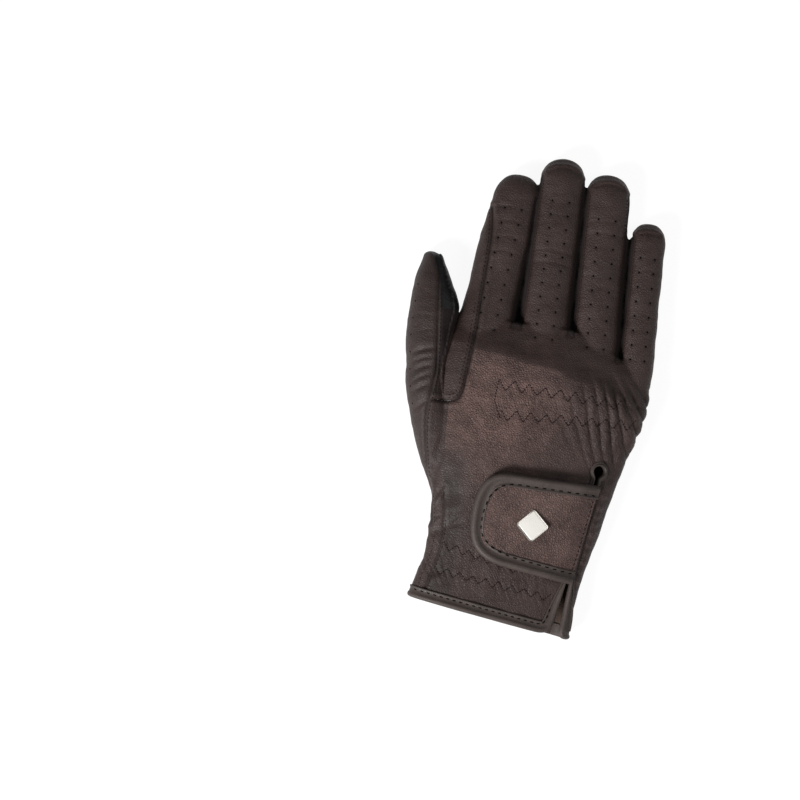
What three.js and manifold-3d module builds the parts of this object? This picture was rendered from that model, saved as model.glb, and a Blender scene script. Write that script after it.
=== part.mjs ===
// A right-hand leather riding glove, lying palm down and empty on a flat surface.
// +Z is up, +Y runs from the wrist to the fingertips, +X runs from the thumb to the little finger.
// The origin is on the surface under the middle of the palm. Sizes are in millimetres.
// The glove is one hollow form of a hand, a thumb and four fingers, cut along its seams into thin pieces.
import * as THREE from "three";
import { mergeVertices } from "three/addons/utils/BufferGeometryUtils.js";
import Module from "manifold-3d";

const wasm = await Module();
wasm.setup();
const { Manifold } = wasm;

// Leather and seams
const leather = 1.2;
const seamGap = 0.3;
const seamInset = 2.4;
const seamHeight = 6.4;
const sideSeamInset = 6.5;

// Binding tape, folded over the edges
const tapeThickness = 0.9;
const tapeGap = 0.3;
const hemTapeWidth = 6;
const slitTapeWidth = 1.8;
const slitTapeThickness = 0.5;

// Hand
const handWidth = 100;
const handDepth = 23;
const wristReach = 93.3;
const knuckleReach = 50;
const hemSlope = 7.5;
const littleCrotchDrop = 17;

// Middle finger
const fingerLength = 81;
const fingerWidth = 23.6;
const fingerDepth = 15.5;

// Thumb
const thumbLength = 118;
const thumbWidth = 22;
const thumbDepth = 19;
const thumbSpread = 11.8;
const thumbReach = 79;
const thumbLean = 0.25;
const thumbTipPatch = 27;
const thenarWidth = 60;
const thenarLength = 73;
const thenarTopY = 15;

// Index finger's patch and side panel
const indexTipPatch = 27;
const tongueWidth = 13;
const tongueFootY = 8.4;

// Wrist slit with its keyhole
const slitTopY = -15;
const slitWidth = 1.1;
const slitMouthWidth = 3.6;
const keyholeRadius = 2.3;

// Closing tab and its plain plate
const tabLength = 61;
const tabWidth = 47;
const tabRise = 4.5;
const tabCorner = 15;
const tabLeather = 1.4;
const tabTapeWidth = 5.2;
const tabSewnEdge = 5;
const tabDistance = 6.4;
const plateSide = 11.2;
const plateThickness = 0.8;
const plateCorner = 1.3;
const plateTurn = 47;

// Air holes and gathers
const airHoleDiameter = 1;
const airHoleSpread = 4.1;
const gatherHeight = 1.1;
const gatherFolds = 11;

// The four fingers. width and length are shares of the middle finger's, depth of its depth, root and tip are
// their places across as shares of the hand's width, and start is how far the root lies behind the knuckles, as a
// share of the little finger's drop. holes is how many pairs of air holes it has.
const fingerTable = [
  { name: "index", width: 1.04, depth: 0.97, root: -0.274, tip: -0.222, start: 0, length: 0.858, holes: 9 },
  { name: "middle", width: 1, depth: 1, root: 0.001, tip: -0.009, start: 0, length: 1, holes: 11 },
  { name: "ring", width: 0.958, depth: 0.97, root: 0.25, tip: 0.204, start: 0, length: 0.942, holes: 10 },
  { name: "little", width: 0.695, depth: 0.9, root: 0.461, tip: 0.43, start: 0.47, length: 0.781, holes: 8 },
];

// Sections of a finger, from inside the hand to the start of its round tip.
// along is a share of the finger's length, width and depth are shares of its own sizes.
const fingerRows = [
  { along: -0.4, width: 0.86, depth: 0.9 },
  { along: -0.2, width: 0.98, depth: 1.12 },
  { along: 0, width: 1.04, depth: 1.12 },
  { along: 0.2, width: 1, depth: 1.03 },
  { along: 0.55, width: 0.98, depth: 0.99 },
  { along: 0.85, width: 0.9, depth: 0.92 },
];

// Sections of the hand. along runs from the hem to the knuckles, left and right are shares of its width,
// depth is a share of its depth, and lift is how far the underside is off the surface, in folded tapes.
const handRows = [
  { along: -0.06, left: -0.466, right: 0.312, depth: 0.72, lift: 1 },
  { along: 0.08, left: -0.462, right: 0.332, depth: 0.72, lift: 1 },
  { along: 0.13, left: -0.445, right: 0.34, depth: 0.73, lift: 0.5 },
  { along: 0.19, left: -0.42, right: 0.35, depth: 0.75, lift: 0 },
  { along: 0.27, left: -0.41, right: 0.378, depth: 0.8, lift: 0 },
  { along: 0.34, left: -0.42, right: 0.402, depth: 0.85, lift: 0 },
  { along: 0.42, left: -0.435, right: 0.425, depth: 0.91, lift: 0 },
  { along: 0.5, left: -0.453, right: 0.446, depth: 0.97, lift: 0 },
  { along: 0.6, left: -0.466, right: 0.48, depth: 1, lift: 0 },
  { along: 0.68, left: -0.469, right: 0.502, depth: 1, lift: 0 },
  { along: 0.77, left: -0.468, right: 0.53, depth: 0.99, lift: 0 },
  { along: 0.83, left: -0.46, right: 0.545, depth: 0.96, lift: 0 },
  { along: 0.9, left: -0.445, right: 0.545, depth: 0.88, lift: 0 },
  { along: 0.96, left: -0.428, right: 0.538, depth: 0.74, lift: 0 },
  { along: 1, left: -0.412, right: 0.53, depth: 0.5, lift: 0 },
];

// Sections of the thumb. along runs from its foot in the palm to its tip, side is its middle from the tip's
// X and width is its width, both as shares of the thumb's width, and depth is a share of its depth.
const thumbRows = [
  { along: 0, side: 0.86, width: 0.3, depth: 0.62 },
  { along: 0.13, side: 0.75, width: 0.6, depth: 0.82 },
  { along: 0.2, side: 0.62, width: 0.73, depth: 0.9 },
  { along: 0.3, side: 0.48, width: 0.83, depth: 0.98 },
  { along: 0.385, side: 0.33, width: 0.87, depth: 1.04 },
  { along: 0.46, side: 0.2, width: 0.82, depth: 1.06 },
  { along: 0.54, side: 0.12, width: 0.755, depth: 1.06 },
  { along: 0.614, side: 0.13, width: 0.87, depth: 1.06 },
  { along: 0.71, side: 0.18, width: 0.98, depth: 1.04 },
  { along: 0.78, side: 0.22, width: 1.04, depth: 1 },
  { along: 0.836, side: 0.17, width: 0.93, depth: 0.95 },
  { along: 0.897, side: 0.105, width: 0.74, depth: 0.86 },
];

// The seam along the thumb, from beyond its tip to its foot, as shares of the thumb's length and width.
const thumbSeam = [
  { along: 1.02, side: 0.02 },
  { along: 0.9, side: 0.25 },
  { along: 0.8, side: 0.3 },
  { along: 0.68, side: 0.37 },
  { along: 0.6, side: 0.41 },
  { along: 0.51, side: 0.46 },
  { along: 0.42, side: 0.41 },
  { along: 0.35, side: 0.36 },
  { along: 0.23, side: 0.42 },
  { along: 0.09, side: 0.58 },
  { along: 0, side: 0.74 },
  { along: -0.1, side: 0.84 },
];

// Gathers drawn up by elastic. y is a share of the hand's length from the hem, reach is how far the folds run
// to each side as a share of that length, from and to are shares of the hand's width.
const gathers = [
  { y: 0.735, reach: 0.14, from: -0.2, to: 0.56 },
  { y: 0.165, reach: 0.1, from: -0.42, to: 0.26 },
];

const handLength = wristReach + knuckleReach;
const thumbTipX = -0.468 * handWidth - thumbSpread;
const slitTopX = 0.35 * handWidth;
const slitFootX = 0.256 * handWidth;
const foldedTape = tapeThickness + tapeGap;
const far = 3 * handLength;
const tipSteps = 3;
const sliver = 0.02;

const lerp = (a, b, t) => a + (b - a) * t;
const clamp01 = (t) => Math.min(1, Math.max(0, t));
const smooth = (t) => clamp01(t) ** 2 * (3 - 2 * clamp01(t));
const union = (solids) => solids.reduce((a, b) => a.add(b));
const fingers = fingerTable.map((row) => {
  const rootY = knuckleReach - row.start * littleCrotchDrop;
  return {
    ...row,
    width: row.width * fingerWidth,
    depth: row.depth * fingerDepth,
    rootX: row.root * handWidth,
    rootY,
    tipX: row.tip * handWidth,
    tipY: rootY + row.length * fingerLength,
  };
});
const index = fingers[0];

// One column of a table at a share along it, in straight steps between its rows.
function column(rows, key, along) {
  const next = rows.findIndex((row) => row.along >= along);
  if (next <= 0) return rows[next < 0 ? rows.length - 1 : 0][key];
  const [a, b] = [rows[next - 1], rows[next]];
  return lerp(a[key], b[key], (along - a.along) / (b.along - a.along));
}

// Solids from geometry
function solidOf(geometry) {
  geometry.deleteAttribute("normal");
  geometry.deleteAttribute("uv");
  const merged = mergeVertices(geometry, 1e-4);
  return new Manifold(
    new wasm.Mesh({
      numProp: 3,
      vertProperties: new Float32Array(merged.attributes.position.array),
      triVerts: new Uint32Array(merged.index.array),
    }),
  );
}

// A closed solid through rings of equally many points, with a flat fan at each end.
function loft(rings) {
  const sides = rings[0].length;
  const points = rings.flat();
  const faces = [];
  for (let r = 0; r + 1 < rings.length; r++)
    for (let i = 0; i < sides; i++) {
      const j = (i + 1) % sides;
      const [a, b, c, d] = [r * sides + i, r * sides + j, (r + 1) * sides + i, (r + 1) * sides + j];
      faces.push(a, c, b, b, c, d);
    }
  [0, rings.length - 1].forEach((r) => {
    const middle = new THREE.Vector3();
    rings[r].forEach((p) => middle.addScaledVector(p, 1 / sides));
    points.push(middle);
    const hub = points.length - 1;
    for (let i = 0; i < sides; i++) {
      const [a, b] = [r * sides + i, r * sides + ((i + 1) % sides)];
      faces.push(...(r === 0 ? [hub, a, b] : [hub, b, a]));
    }
  });
  const geometry = new THREE.BufferGeometry().setFromPoints(points);
  geometry.setIndex(faces);
  return solidOf(geometry);
}

// An upright prism on a THREE.Shape or on an outline of [x, y] points.
function prism(outline, low = -far, high = far) {
  const shape = Array.isArray(outline)
    ? new THREE.Shape(outline.map(([x, y]) => new THREE.Vector2(x, y)))
    : outline;
  const geometry = new THREE.ExtrudeGeometry(shape, {
    depth: high - low,
    bevelEnabled: false,
    curveSegments: 4,
  });
  return solidOf(geometry.translate(0, 0, low));
}

// Everything above or below a height, and everything beyond a line across the glove
const rectangle = (lowX, highX, lowY, highY) => [
  [lowX, lowY],
  [highX, lowY],
  [highX, highY],
  [lowX, highY],
];
const higherThan = (z) => prism(rectangle(-far, far, -far, far), z, far);
const lowerThan = (z) => prism(rectangle(-far, far, -far, far), -far, z);
const beyond = (y) => prism(rectangle(-far, far, y, far));
const before = (y) => prism(rectangle(-far, far, -far, y));

// Where a section's points stand, from one side (-1) over the top to the other (1) and back underneath.
function stops(top, under) {
  return [...top.map((t) => ({ t, side: 1 })), ...under.map((t) => ({ t, side: -1 }))];
}

const steps = (count, reach) => Array.from({ length: count + 1 }, (_, i) => reach * ((2 * i) / count - 1));
const handStops = stops(
  [1, 0.985, 0.95, ...steps(2 * gatherFolds, -0.9), -0.95, -0.985, -1],
  [-0.94, -0.7, 0.7, 0.94],
);
const handInsideStops = stops(
  [1, 0.97, 0.85, 0.6, 0.25, -0.25, -0.6, -0.85, -0.97, -1],
  [-0.93, -0.72, 0.72, 0.93],
);
const tubeStops = stops([1, 0.92, 0.65, 0.25, -0.25, -0.65, -0.92, -1], [-0.86, -0.44, 0.44, 0.86]);
const tubeInsideStops = stops([1, 0.85, 0.4, -0.4, -0.85, -1], [-0.9, -0.6, 0.6, 0.9]);

// One section across Y: a rounded box, flat where it rests. grow moves its wall outwards, and ridge raises
// every second point of its top.
function section(row, points, grow, ridge = () => 0) {
  return points.map(({ t, side }, i) => {
    const upright = side * (1 - Math.abs(t) ** row.square) ** (1 / row.square);
    const x = row.x + (row.halfWidth + grow) * t;
    const fold = side > 0 && i % 2 === 0 ? ridge(x) : 0;
    const z = row.z + (upright > 0 ? row.up + grow : row.down + grow) * upright + fold;
    const resting = Math.max(row.floor - grow, 0, z);
    return new THREE.Vector3(x + row.lean * (resting - row.z), row.y - row.drop * row.arch(x), resting);
  });
}

// Hand form
const handY = (along) => lerp(-wristReach, knuckleReach, along);
const handAlong = (y) => (y + wristReach) / handLength;
const handLeft = (along) => column(handRows, "left", along) * handWidth;
const knuckleArch = (x) => littleCrotchDrop * clamp01((x / handWidth - 0.14) / 0.4);

function gatherAt(x, y) {
  const folds = gathers.map((gather) => {
    const off = Math.abs(y - handY(gather.y)) / (gather.reach * handLength);
    const inside = Math.min(x / handWidth - gather.from, gather.to - x / handWidth) / 0.05;
    return gatherHeight * smooth(1.3 - 1.3 * off) * smooth(inside);
  });
  return Math.max(...folds);
}

function handForm(grow, points = handStops, ridge = () => 0) {
  const rings = handRows.map((row) => {
    const depth = row.depth * handDepth;
    const y = handY(row.along) + (row.along === 1 ? grow : 0);
    const shape = {
      x: ((row.left + row.right) / 2) * handWidth,
      y,
      z: 0.46 * depth,
      halfWidth: ((row.right - row.left) / 2) * handWidth,
      up: 0.54 * depth,
      down: 0.58 * depth,
      square: 2.5,
      lean: 0,
      drop: clamp01((row.along - 0.6) / 0.4),
      arch: knuckleArch,
      floor: row.lift * foldedTape,
    };
    return section(shape, points, grow, (x) => ridge(x, y));
  });
  return loft(rings);
}

// Finger and thumb forms: tubes with a round tip
const tube = { square: 2.3, lean: 0, drop: 0, arch: () => 0, floor: 0 };

function tubeForm(rows, tipX, tipY, grow) {
  const points = grow < 0 ? tubeInsideStops : tubeStops;
  const rings = rows.map((row) => section(row, points, grow));
  const last = rows[rows.length - 1];
  for (let step = 1; step <= tipSteps; step++) {
    const angle = (step / tipSteps) * 0.46 * Math.PI;
    const [shrink, reach] = [Math.cos(angle) ** 0.8, Math.sin(angle) / Math.sin(0.46 * Math.PI)];
    const shape = {
      ...last,
      x: lerp(last.x, tipX, reach),
      y: lerp(last.y, tipY + grow, reach),
      z: lerp(last.z, 0.85 * last.z, reach),
      halfWidth: (last.halfWidth + grow) * shrink - grow,
      up: (last.up + grow) * shrink - grow,
      down: (last.down + grow) * shrink - grow,
    };
    rings.push(section(shape, points, grow));
  }
  return loft(rings);
}

const tubeDepths = (depth) => ({ z: 0.45 * depth, up: 0.55 * depth, down: 0.5 * depth });
const fingerX = (finger, along) => lerp(finger.rootX, finger.tipX, along);
const fingerY = (finger, along) => lerp(finger.rootY, finger.tipY, along);
const fingerAlong = (finger, y) => (y - finger.rootY) / (finger.tipY - finger.rootY);
const fingerHalf = (finger, along) => (finger.width / 2) * column(fingerRows, "width", along);

function fingerForm(finger, grow) {
  const rows = fingerRows.map(({ along, depth }) => ({
    ...tube,
    ...tubeDepths(depth * finger.depth),
    x: fingerX(finger, along),
    y: fingerY(finger, along),
    halfWidth: fingerHalf(finger, along),
  }));
  return tubeForm(rows, finger.tipX, finger.tipY, grow);
}

const thumbY = (along) => thumbReach - (1 - along) * thumbLength;
const thumbX = (side) => thumbTipX + side * thumbWidth;

function thumbForm(grow) {
  const rows = thumbRows.map(({ along, side, width, depth }) => ({
    ...tube,
    ...tubeDepths(depth * thumbDepth),
    square: 2.1,
    lean: 0.2,
    x: thumbX(side),
    y: thumbY(along),
    halfWidth: (width * thumbWidth) / 2,
  }));
  return tubeForm(rows, thumbTipX, thumbReach, grow);
}

// The glove's whole skin, cut off along the slanted hem
const hemAt = (x) => -wristReach - x * Math.tan(THREE.MathUtils.degToRad(hemSlope));
const hemBand = (from, to) =>
  prism([
    [-far, hemAt(-far) + from],
    [far, hemAt(far) + from],
    [far, hemAt(far) + to],
    [-far, hemAt(-far) + to],
  ]);
const fingerForms = (grow) => union(fingers.map((finger) => fingerForm(finger, grow)));
const form = (grow, points, ridge) =>
  handForm(grow, points, ridge).add(thumbForm(grow)).add(fingerForms(grow));
const skin = form(0, handStops, gatherAt)
  .subtract(form(-leather, handInsideStops))
  .intersect(hemBand(foldedTape, 3 * far));

// Regions that part the skin along its seams. spare widens one, so that a neighbour keeps its gap.
function fourchetteRegion(left, right, spare) {
  const crotch = Math.max(left.rootY, right.rootY) - knuckleArch((left.rootX + right.rootX) / 2);
  const foot = crotch - seamInset - leather - spare;
  const middle = (y) => (fingerX(left, fingerAlong(left, y)) + fingerX(right, fingerAlong(right, y))) / 2;
  const leg = (finger, side) => {
    const end = finger.tipY - 0.42 * finger.width + spare;
    const edge = [0, 0.3, 0.6, 1].map((t) => {
      const y = lerp(foot, end, t);
      const along = fingerAlong(finger, y);
      return [fingerX(finger, along) + side * (fingerHalf(finger, along) - seamInset - spare), y];
    });
    return [...edge, [middle(end), end]];
  };
  return prism([...leg(right, -1), ...leg(left, 1).reverse()]);
}

// The index finger's side panel, which ends in a round tongue beside the thumb.
function sidePanelRegion(spare) {
  const leftX = handLeft(handAlong(tongueFootY));
  const topY = index.tipY - 0.72 * index.width + spare;
  const edgeX = (along, share) => fingerX(index, along) - (1 - share) * fingerHalf(index, along) + spare;
  const tongueX = leftX + tongueWidth + spare;
  const footY = tongueFootY - spare;
  const shape = new THREE.Shape();
  shape.moveTo(leftX - index.width, topY);
  shape.lineTo(leftX - index.width, footY);
  shape.lineTo(leftX + 0.2 * tongueWidth, footY);
  shape.bezierCurveTo(leftX + 0.7 * tongueWidth, footY, tongueX, footY, tongueX, footY + tongueWidth);
  const bend = [tongueX + 0.15 * tongueWidth, index.rootY - tongueWidth];
  shape.quadraticCurveTo(...bend, edgeX(0.15, 0.58), fingerY(index, 0.15));
  shape.lineTo(edgeX(0.4, 0.48), fingerY(index, 0.4));
  shape.quadraticCurveTo(edgeX(0.6, 0.4), fingerY(index, 0.62), edgeX(0.75, 0.1), topY);
  shape.closePath();
  return prism(shape);
}

// Everything on the thumb's side of the slot between the thumb and the index finger.
function slotRegion(spare) {
  const slot = handRows
    .filter((row) => handY(row.along) > tongueFootY)
    .map((row) => [row.left * handWidth - seamGap + spare, handY(row.along)]);
  const footY = tongueFootY - 2 * seamGap;
  const last = slot[slot.length - 1];
  return prism([[-far, footY], [slot[0][0], footY], ...slot, [last[0], far], [-far, far]]);
}

// The thumb's outer piece, parted from the rest on a leaning cut under the seam.
function thumbRegion(spare) {
  const line = thumbSeam.map(({ along, side }) => [thumbX(side) + spare, thumbY(along)]);
  const lowY = line[line.length - 1][1];
  const seam = prism([...line, [-far, lowY], [-far, line[0][1]]].reverse());
  const leaning = new THREE.Matrix4().makeShear(0, 0, 0, 0, thumbLean, 0);
  leaning.setPosition(-0.8 * thumbLean * thumbDepth, 0, 0);
  return seam.transform(leaning.toArray());
}

// The oval in the palm that the thumb grows out of.
function thenarRegion(spare) {
  const leftX = handLeft(0.5);
  const middleX = leftX + 0.42 * thenarWidth;
  const footY = thenarTopY - thenarLength;
  const halfX = leftX + thenarWidth - middleX + spare;
  const halfY = thenarLength / 2 + spare;
  const shape = new THREE.Shape();
  shape.moveTo(-far, footY - spare);
  shape.lineTo(middleX, footY - spare);
  shape.absellipse(middleX, thenarTopY - thenarLength / 2, halfX, halfY, -Math.PI / 2, Math.PI / 2);
  shape.lineTo(leftX, thenarTopY + spare);
  shape.lineTo(-far, thenarTopY + spare);
  return prism(shape);
}

// The back of the hand and fingers, above the fingers' seams and in from the seam on the thumb side.
function backRegion(spare) {
  const line = [0.72, 0.6, 0.5, 0.42, 0.3, 0.19, 0.08, -0.1].map((along) => [
    handLeft(along) + sideSeamInset - spare,
    handY(along),
  ]);
  const shape = [...line, [far, handY(-0.1)], [far, far], [line[0][0], far]];
  return prism(shape, seamHeight + seamGap / 2 - spare, far);
}

// Slit and air holes
const slitX = (y) => lerp(slitTopX, slitFootX, clamp01((slitTopY - y) / (wristReach + slitTopY)) ** 0.85);

function slitRegion(spare) {
  const levels = [0, 0.3, 0.62, 0.8, 1.12].map((t) => {
    const y = lerp(slitTopY, -wristReach, t);
    return { x: slitX(y), y, half: lerp(slitWidth, slitMouthWidth, smooth((t - 0.6) / 0.4)) / 2 + spare };
  });
  const right = levels.map(({ x, y, half }) => [x + half, y]);
  const left = levels.map(({ x, y, half }) => [x - half, y]);
  const keyhole = new THREE.Shape().absarc(slitTopX, slitTopY, keyholeRadius + spare, 0, 2 * Math.PI);
  return prism([...left, ...right.reverse()], seamHeight, far).add(prism(keyhole, seamHeight, far));
}

function airHoles(finger) {
  const holes = [];
  for (let n = 0; n < finger.holes; n++)
    for (const side of [-1, 1]) {
      const along = lerp(-0.07, 0.79, n / (finger.holes - 1));
      const hole = new THREE.CylinderGeometry(airHoleDiameter / 2, airHoleDiameter / 2, far, 4);
      const x = fingerX(finger, along) + side * airHoleSpread * Math.min(1, finger.width / 20);
      hole.rotateX(Math.PI / 2).translate(x, fingerY(finger, along), seamHeight + far / 2);
      holes.push(solidOf(hole));
    }
  return union(holes);
}

// Pieces of leather
const pairs = [0, 1, 2].map((i) => [fingers[i], fingers[i + 1]]);
const fourchettesOpen = union(pairs.map(([left, right]) => fourchetteRegion(left, right, seamGap)));
const thumbOpen = thumbRegion(seamGap);
const slotOpen = slotRegion(seamGap);
const sidePanelOpen = sidePanelRegion(seamGap).subtract(slotRegion(0));
const backOpen = backRegion(seamGap);

const thumbBack = skin.intersect(thumbRegion(0));
const sidePanel = skin.intersect(sidePanelRegion(0)).subtract(slotOpen).subtract(thumbOpen);
const thumbFront = skin
  .intersect(slotRegion(0).add(thenarRegion(0).subtract(backOpen)))
  .subtract(thumbOpen)
  .subtract(sidePanelOpen);
const thumbPatchY = thumbReach - thumbTipPatch;
const trank = skin
  .subtract(fourchettesOpen)
  .subtract(sidePanelOpen)
  .subtract(thumbOpen)
  .subtract(slotOpen);
const back = trank
  .intersect(backRegion(0))
  .subtract(slitRegion(slitTapeThickness + tapeGap))
  .subtract(union(fingers.map(airHoles)));
const palm = trank.subtract(backOpen).subtract(thenarRegion(seamGap));
const indexPatchY = index.tipY - indexTipPatch;
const indexPatchRegion = (spare) =>
  prism(rectangle(-far, fingerX(index, 1) + index.width / 2 + spare, indexPatchY - spare, far));

// The binding tape: a U folded over the hem, the slit's edges and the keyhole
const tapeForm = handForm(foldedTape).subtract(handForm(-leather - foldedTape, handInsideStops));
const tapeFold = handForm(tapeGap).subtract(handForm(-leather - tapeGap, handInsideStops));
const edgeTape = tapeForm
  .intersect(hemBand(0, hemTapeWidth).add(slitRegion(slitTapeWidth).intersect(hemBand(0, 3 * far))))
  .subtract(slitRegion(0))
  .subtract(tapeFold.intersect(hemBand(tapeThickness, 3 * far)).subtract(slitRegion(slitTapeThickness)));

// Closing tab: it is sewn down on the little finger's side of the slit and laps over it towards the thumb
const tabTopY = slitTopY - tabDistance;
const tabFootInset = (y) => slitX(y) + slitWidth / 2 + slitTapeWidth + tapeGap;
const tabSewnX = (y) => lerp(slitX(y) + tabSewnEdge, tabFootInset(y), (tabTopY - y) / (2 * tabWidth));

function tabOutline(inset) {
  const [topY, footY] = [tabTopY - inset, tabTopY - tabWidth + inset];
  const leftX = tabSewnX(tabTopY) - tabLength + inset;
  const corner = tabCorner - inset;
  const shape = new THREE.Shape();
  shape.moveTo(tabSewnX(topY), topY);
  shape.lineTo(leftX + corner, topY - 0.06 * tabWidth);
  shape.quadraticCurveTo(leftX, topY - 0.08 * tabWidth, leftX, topY - corner);
  shape.lineTo(leftX, footY + tabRise + corner);
  shape.quadraticCurveTo(leftX, footY + tabRise, leftX + corner, footY + 0.8 * tabRise);
  shape.lineTo(tabSewnX(footY), footY);
  shape.closePath();
  return shape;
}

const layer = (low, thickness, points = handInsideStops) =>
  handForm(low + thickness, points).subtract(handForm(low, points)).intersect(higherThan(seamHeight));
const tabLow = 2 * (foldedTape + tapeGap);
const sewnTop = tabTopY - foldedTape;
const sewnFoot = tabTopY - tabWidth + foldedTape;
const sewnStrip = prism([
  [tabFootInset(sewnTop), sewnTop],
  [tabFootInset(sewnFoot), sewnFoot],
  [tabSewnX(sewnFoot), sewnFoot],
  [tabSewnX(sewnTop), sewnTop],
]);
const besideStrip = prism([
  [tabFootInset(sewnTop) - seamGap, far],
  [tabFootInset(sewnTop) - seamGap, sewnTop],
  [tabFootInset(sewnFoot) - seamGap, sewnFoot],
  [tabFootInset(sewnFoot) - seamGap, -far],
  [-far, -far],
  [-far, far],
]);
const tab = layer(tabLow, tabLeather)
  .intersect(prism(tabOutline(foldedTape)))
  .add(layer(seamGap, tabLow, handStops).intersect(sewnStrip));
const tabTape = layer(tabLow - foldedTape, tabLeather + 2 * foldedTape)
  .intersect(prism(tabOutline(0)).subtract(prism(tabOutline(tabTapeWidth))))
  .intersect(besideStrip)
  .subtract(layer(tabLow - tapeGap, tabLeather + 2 * tapeGap).intersect(prism(tabOutline(tapeThickness))));

// Plain plate on the tab
const plateX = tabSewnX(tabTopY) - 0.53 * tabLength;
const plateY = tabTopY - 0.49 * tabWidth;

function plateOutline() {
  const half = plateSide / 2 - plateCorner;
  const shape = new THREE.Shape();
  for (let quarter = 0; quarter < 4; quarter++) {
    const angle = THREE.MathUtils.degToRad(plateTurn + 90 * quarter);
    const [c, s] = [Math.cos(angle), Math.sin(angle)];
    shape.absarc(plateX + half * (c - s), plateY + half * (c + s), plateCorner, angle, angle + Math.PI / 2);
  }
  return shape;
}

const plate = layer(tabLow + tabLeather + seamGap, plateThickness).intersect(prism(plateOutline()));

// Assembly
const brown = { color: 0x3d3230, roughness: 0.55, metalness: 0 };
const black = { color: 0x161518, roughness: 0.45, metalness: 0 };
const tape = { color: 0x3f3836, roughness: 0.5, metalness: 0 };
const white = { color: 0xe8e6e2, roughness: 0.3, metalness: 0.2 };
const glove = new THREE.Group();

// Where two seams run close, the cuts leave crumbs and slivers, so only a piece's largest body is kept.
function add(name, solid, look) {
  const body = solid.decompose().sort((a, b) => b.volume() - a.volume())[0].simplify(sliver);
  const { vertProperties, triVerts } = body.getMesh();
  const geometry = new THREE.BufferGeometry();
  geometry.setAttribute("position", new THREE.BufferAttribute(new Float32Array(vertProperties), 3));
  geometry.setIndex(new THREE.BufferAttribute(new Uint32Array(triVerts), 1));
  const mesh = new THREE.Mesh(geometry, new THREE.MeshStandardMaterial(look));
  mesh.name = name;
  glove.add(mesh);
}

add("back_panel", back, brown);
add("palm_panel", palm.subtract(indexPatchRegion(seamGap)), brown);
add("index_tip_patch", palm.intersect(indexPatchRegion(0)), black);
add("index_side_panel", sidePanel, brown);
for (const [left, right] of pairs)
  add(`fourchette_${left.name}_${right.name}`, skin.intersect(fourchetteRegion(left, right, 0)), brown);
add("thumb_back", thumbBack, brown);
add("thumb_palm", thumbFront.intersect(before(thumbPatchY - seamGap)), brown);
add("thumb_tip_patch", thumbFront.intersect(beyond(thumbPatchY)), black);
add("edge_binding", edgeTape, tape);
add("closing_tab", tab, brown);
add("tab_binding", tabTape, tape);
add("plate", plate, white);

export default glove;
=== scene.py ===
import math

import bpy
import numpy as np
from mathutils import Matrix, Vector
from mathutils.bvhtree import BVHTree


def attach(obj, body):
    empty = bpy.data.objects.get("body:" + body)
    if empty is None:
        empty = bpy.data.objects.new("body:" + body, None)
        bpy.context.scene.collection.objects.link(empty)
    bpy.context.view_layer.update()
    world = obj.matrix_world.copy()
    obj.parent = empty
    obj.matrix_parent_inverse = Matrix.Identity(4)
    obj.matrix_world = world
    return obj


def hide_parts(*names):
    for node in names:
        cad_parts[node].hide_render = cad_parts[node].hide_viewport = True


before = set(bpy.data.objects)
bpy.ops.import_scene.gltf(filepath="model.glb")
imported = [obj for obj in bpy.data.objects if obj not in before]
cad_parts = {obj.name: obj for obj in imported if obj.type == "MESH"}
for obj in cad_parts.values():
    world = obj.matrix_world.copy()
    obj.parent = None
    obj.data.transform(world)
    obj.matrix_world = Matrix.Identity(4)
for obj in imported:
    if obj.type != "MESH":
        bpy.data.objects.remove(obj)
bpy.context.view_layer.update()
bpy.ops.object.select_all(action="DESELECT")
MM = 0.001


# The glove's form
# The leather has kept the form of a hand: one hollow skin of a hand, a thumb and four fingers, from which every
# piece below is cut along its seams. Each form is a loft through the sections of the same tables as the solids.
HAND_WIDTH, HAND_DEPTH, WRIST_REACH, KNUCKLE_REACH = 100, 23, 93.3, 50
HAND_LENGTH = WRIST_REACH + KNUCKLE_REACH
HEM_SLOPE = math.tan(math.radians(7.5))
LITTLE_DROP = 17
FINGER_LENGTH, FINGER_WIDTH, FINGER_DEPTH = 81, 23.6, 15.5
THUMB_LENGTH, THUMB_WIDTH, THUMB_DEPTH, THUMB_REACH, THUMB_TIP_X = 118, 22, 19, 79, -58.6
LEATHER, SEAM_GAP = 1.2, 0.04
SEAM_HEIGHT, SEAM_INSET = 6.4, 1.1
FOLDED_TAPE = 1.2
FAR = 300
# A section's widest point, and how far it reaches above and below that, as shares of its depth
HAND_SQUARE, HAND_MIDDLE, HAND_ABOVE, HAND_BELOW = 2.5, 0.46, 0.54, 0.58
FINGER_MIDDLE, FINGER_ABOVE, FINGER_BELOW = 0.45, 0.55, 0.5
FINGER_START, FINGER_TIP, THUMB_TIP = -0.4, 0.85, 0.968
HAND_BLUR, THUMB_BLUR = 0.03, 0.035

HAND = {
    "along": (-0.06, 0.08, 0.13, 0.19, 0.27, 0.34, 0.42, 0.5, 0.6, 0.68, 0.77, 0.83, 0.9, 0.96, 1),
    "left": (-0.466, -0.462, -0.445, -0.42, -0.41, -0.42, -0.435, -0.453, -0.466, -0.469, -0.468, -0.46, -0.445,
             -0.428, -0.412),
    "right": (0.312, 0.332, 0.34, 0.35, 0.378, 0.402, 0.425, 0.446, 0.48, 0.502, 0.53, 0.545, 0.545, 0.538, 0.53),
    "depth": (0.72, 0.72, 0.73, 0.75, 0.8, 0.85, 0.91, 0.97, 1, 1, 0.99, 0.96, 0.89, 0.8, 0.68),
    "lift": (1, 1, 0.5, 0, 0, 0, 0, 0, 0, 0, 0, 0, 0, 0, 0),
}
FINGER = {
    "along": (-0.4, -0.2, 0, 0.2, 0.55, 0.85),
    "width": (0.86, 0.98, 1.04, 1, 0.98, 0.9),
    "depth": (0.9, 1.12, 1.12, 1.03, 0.99, 0.92),
}
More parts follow.
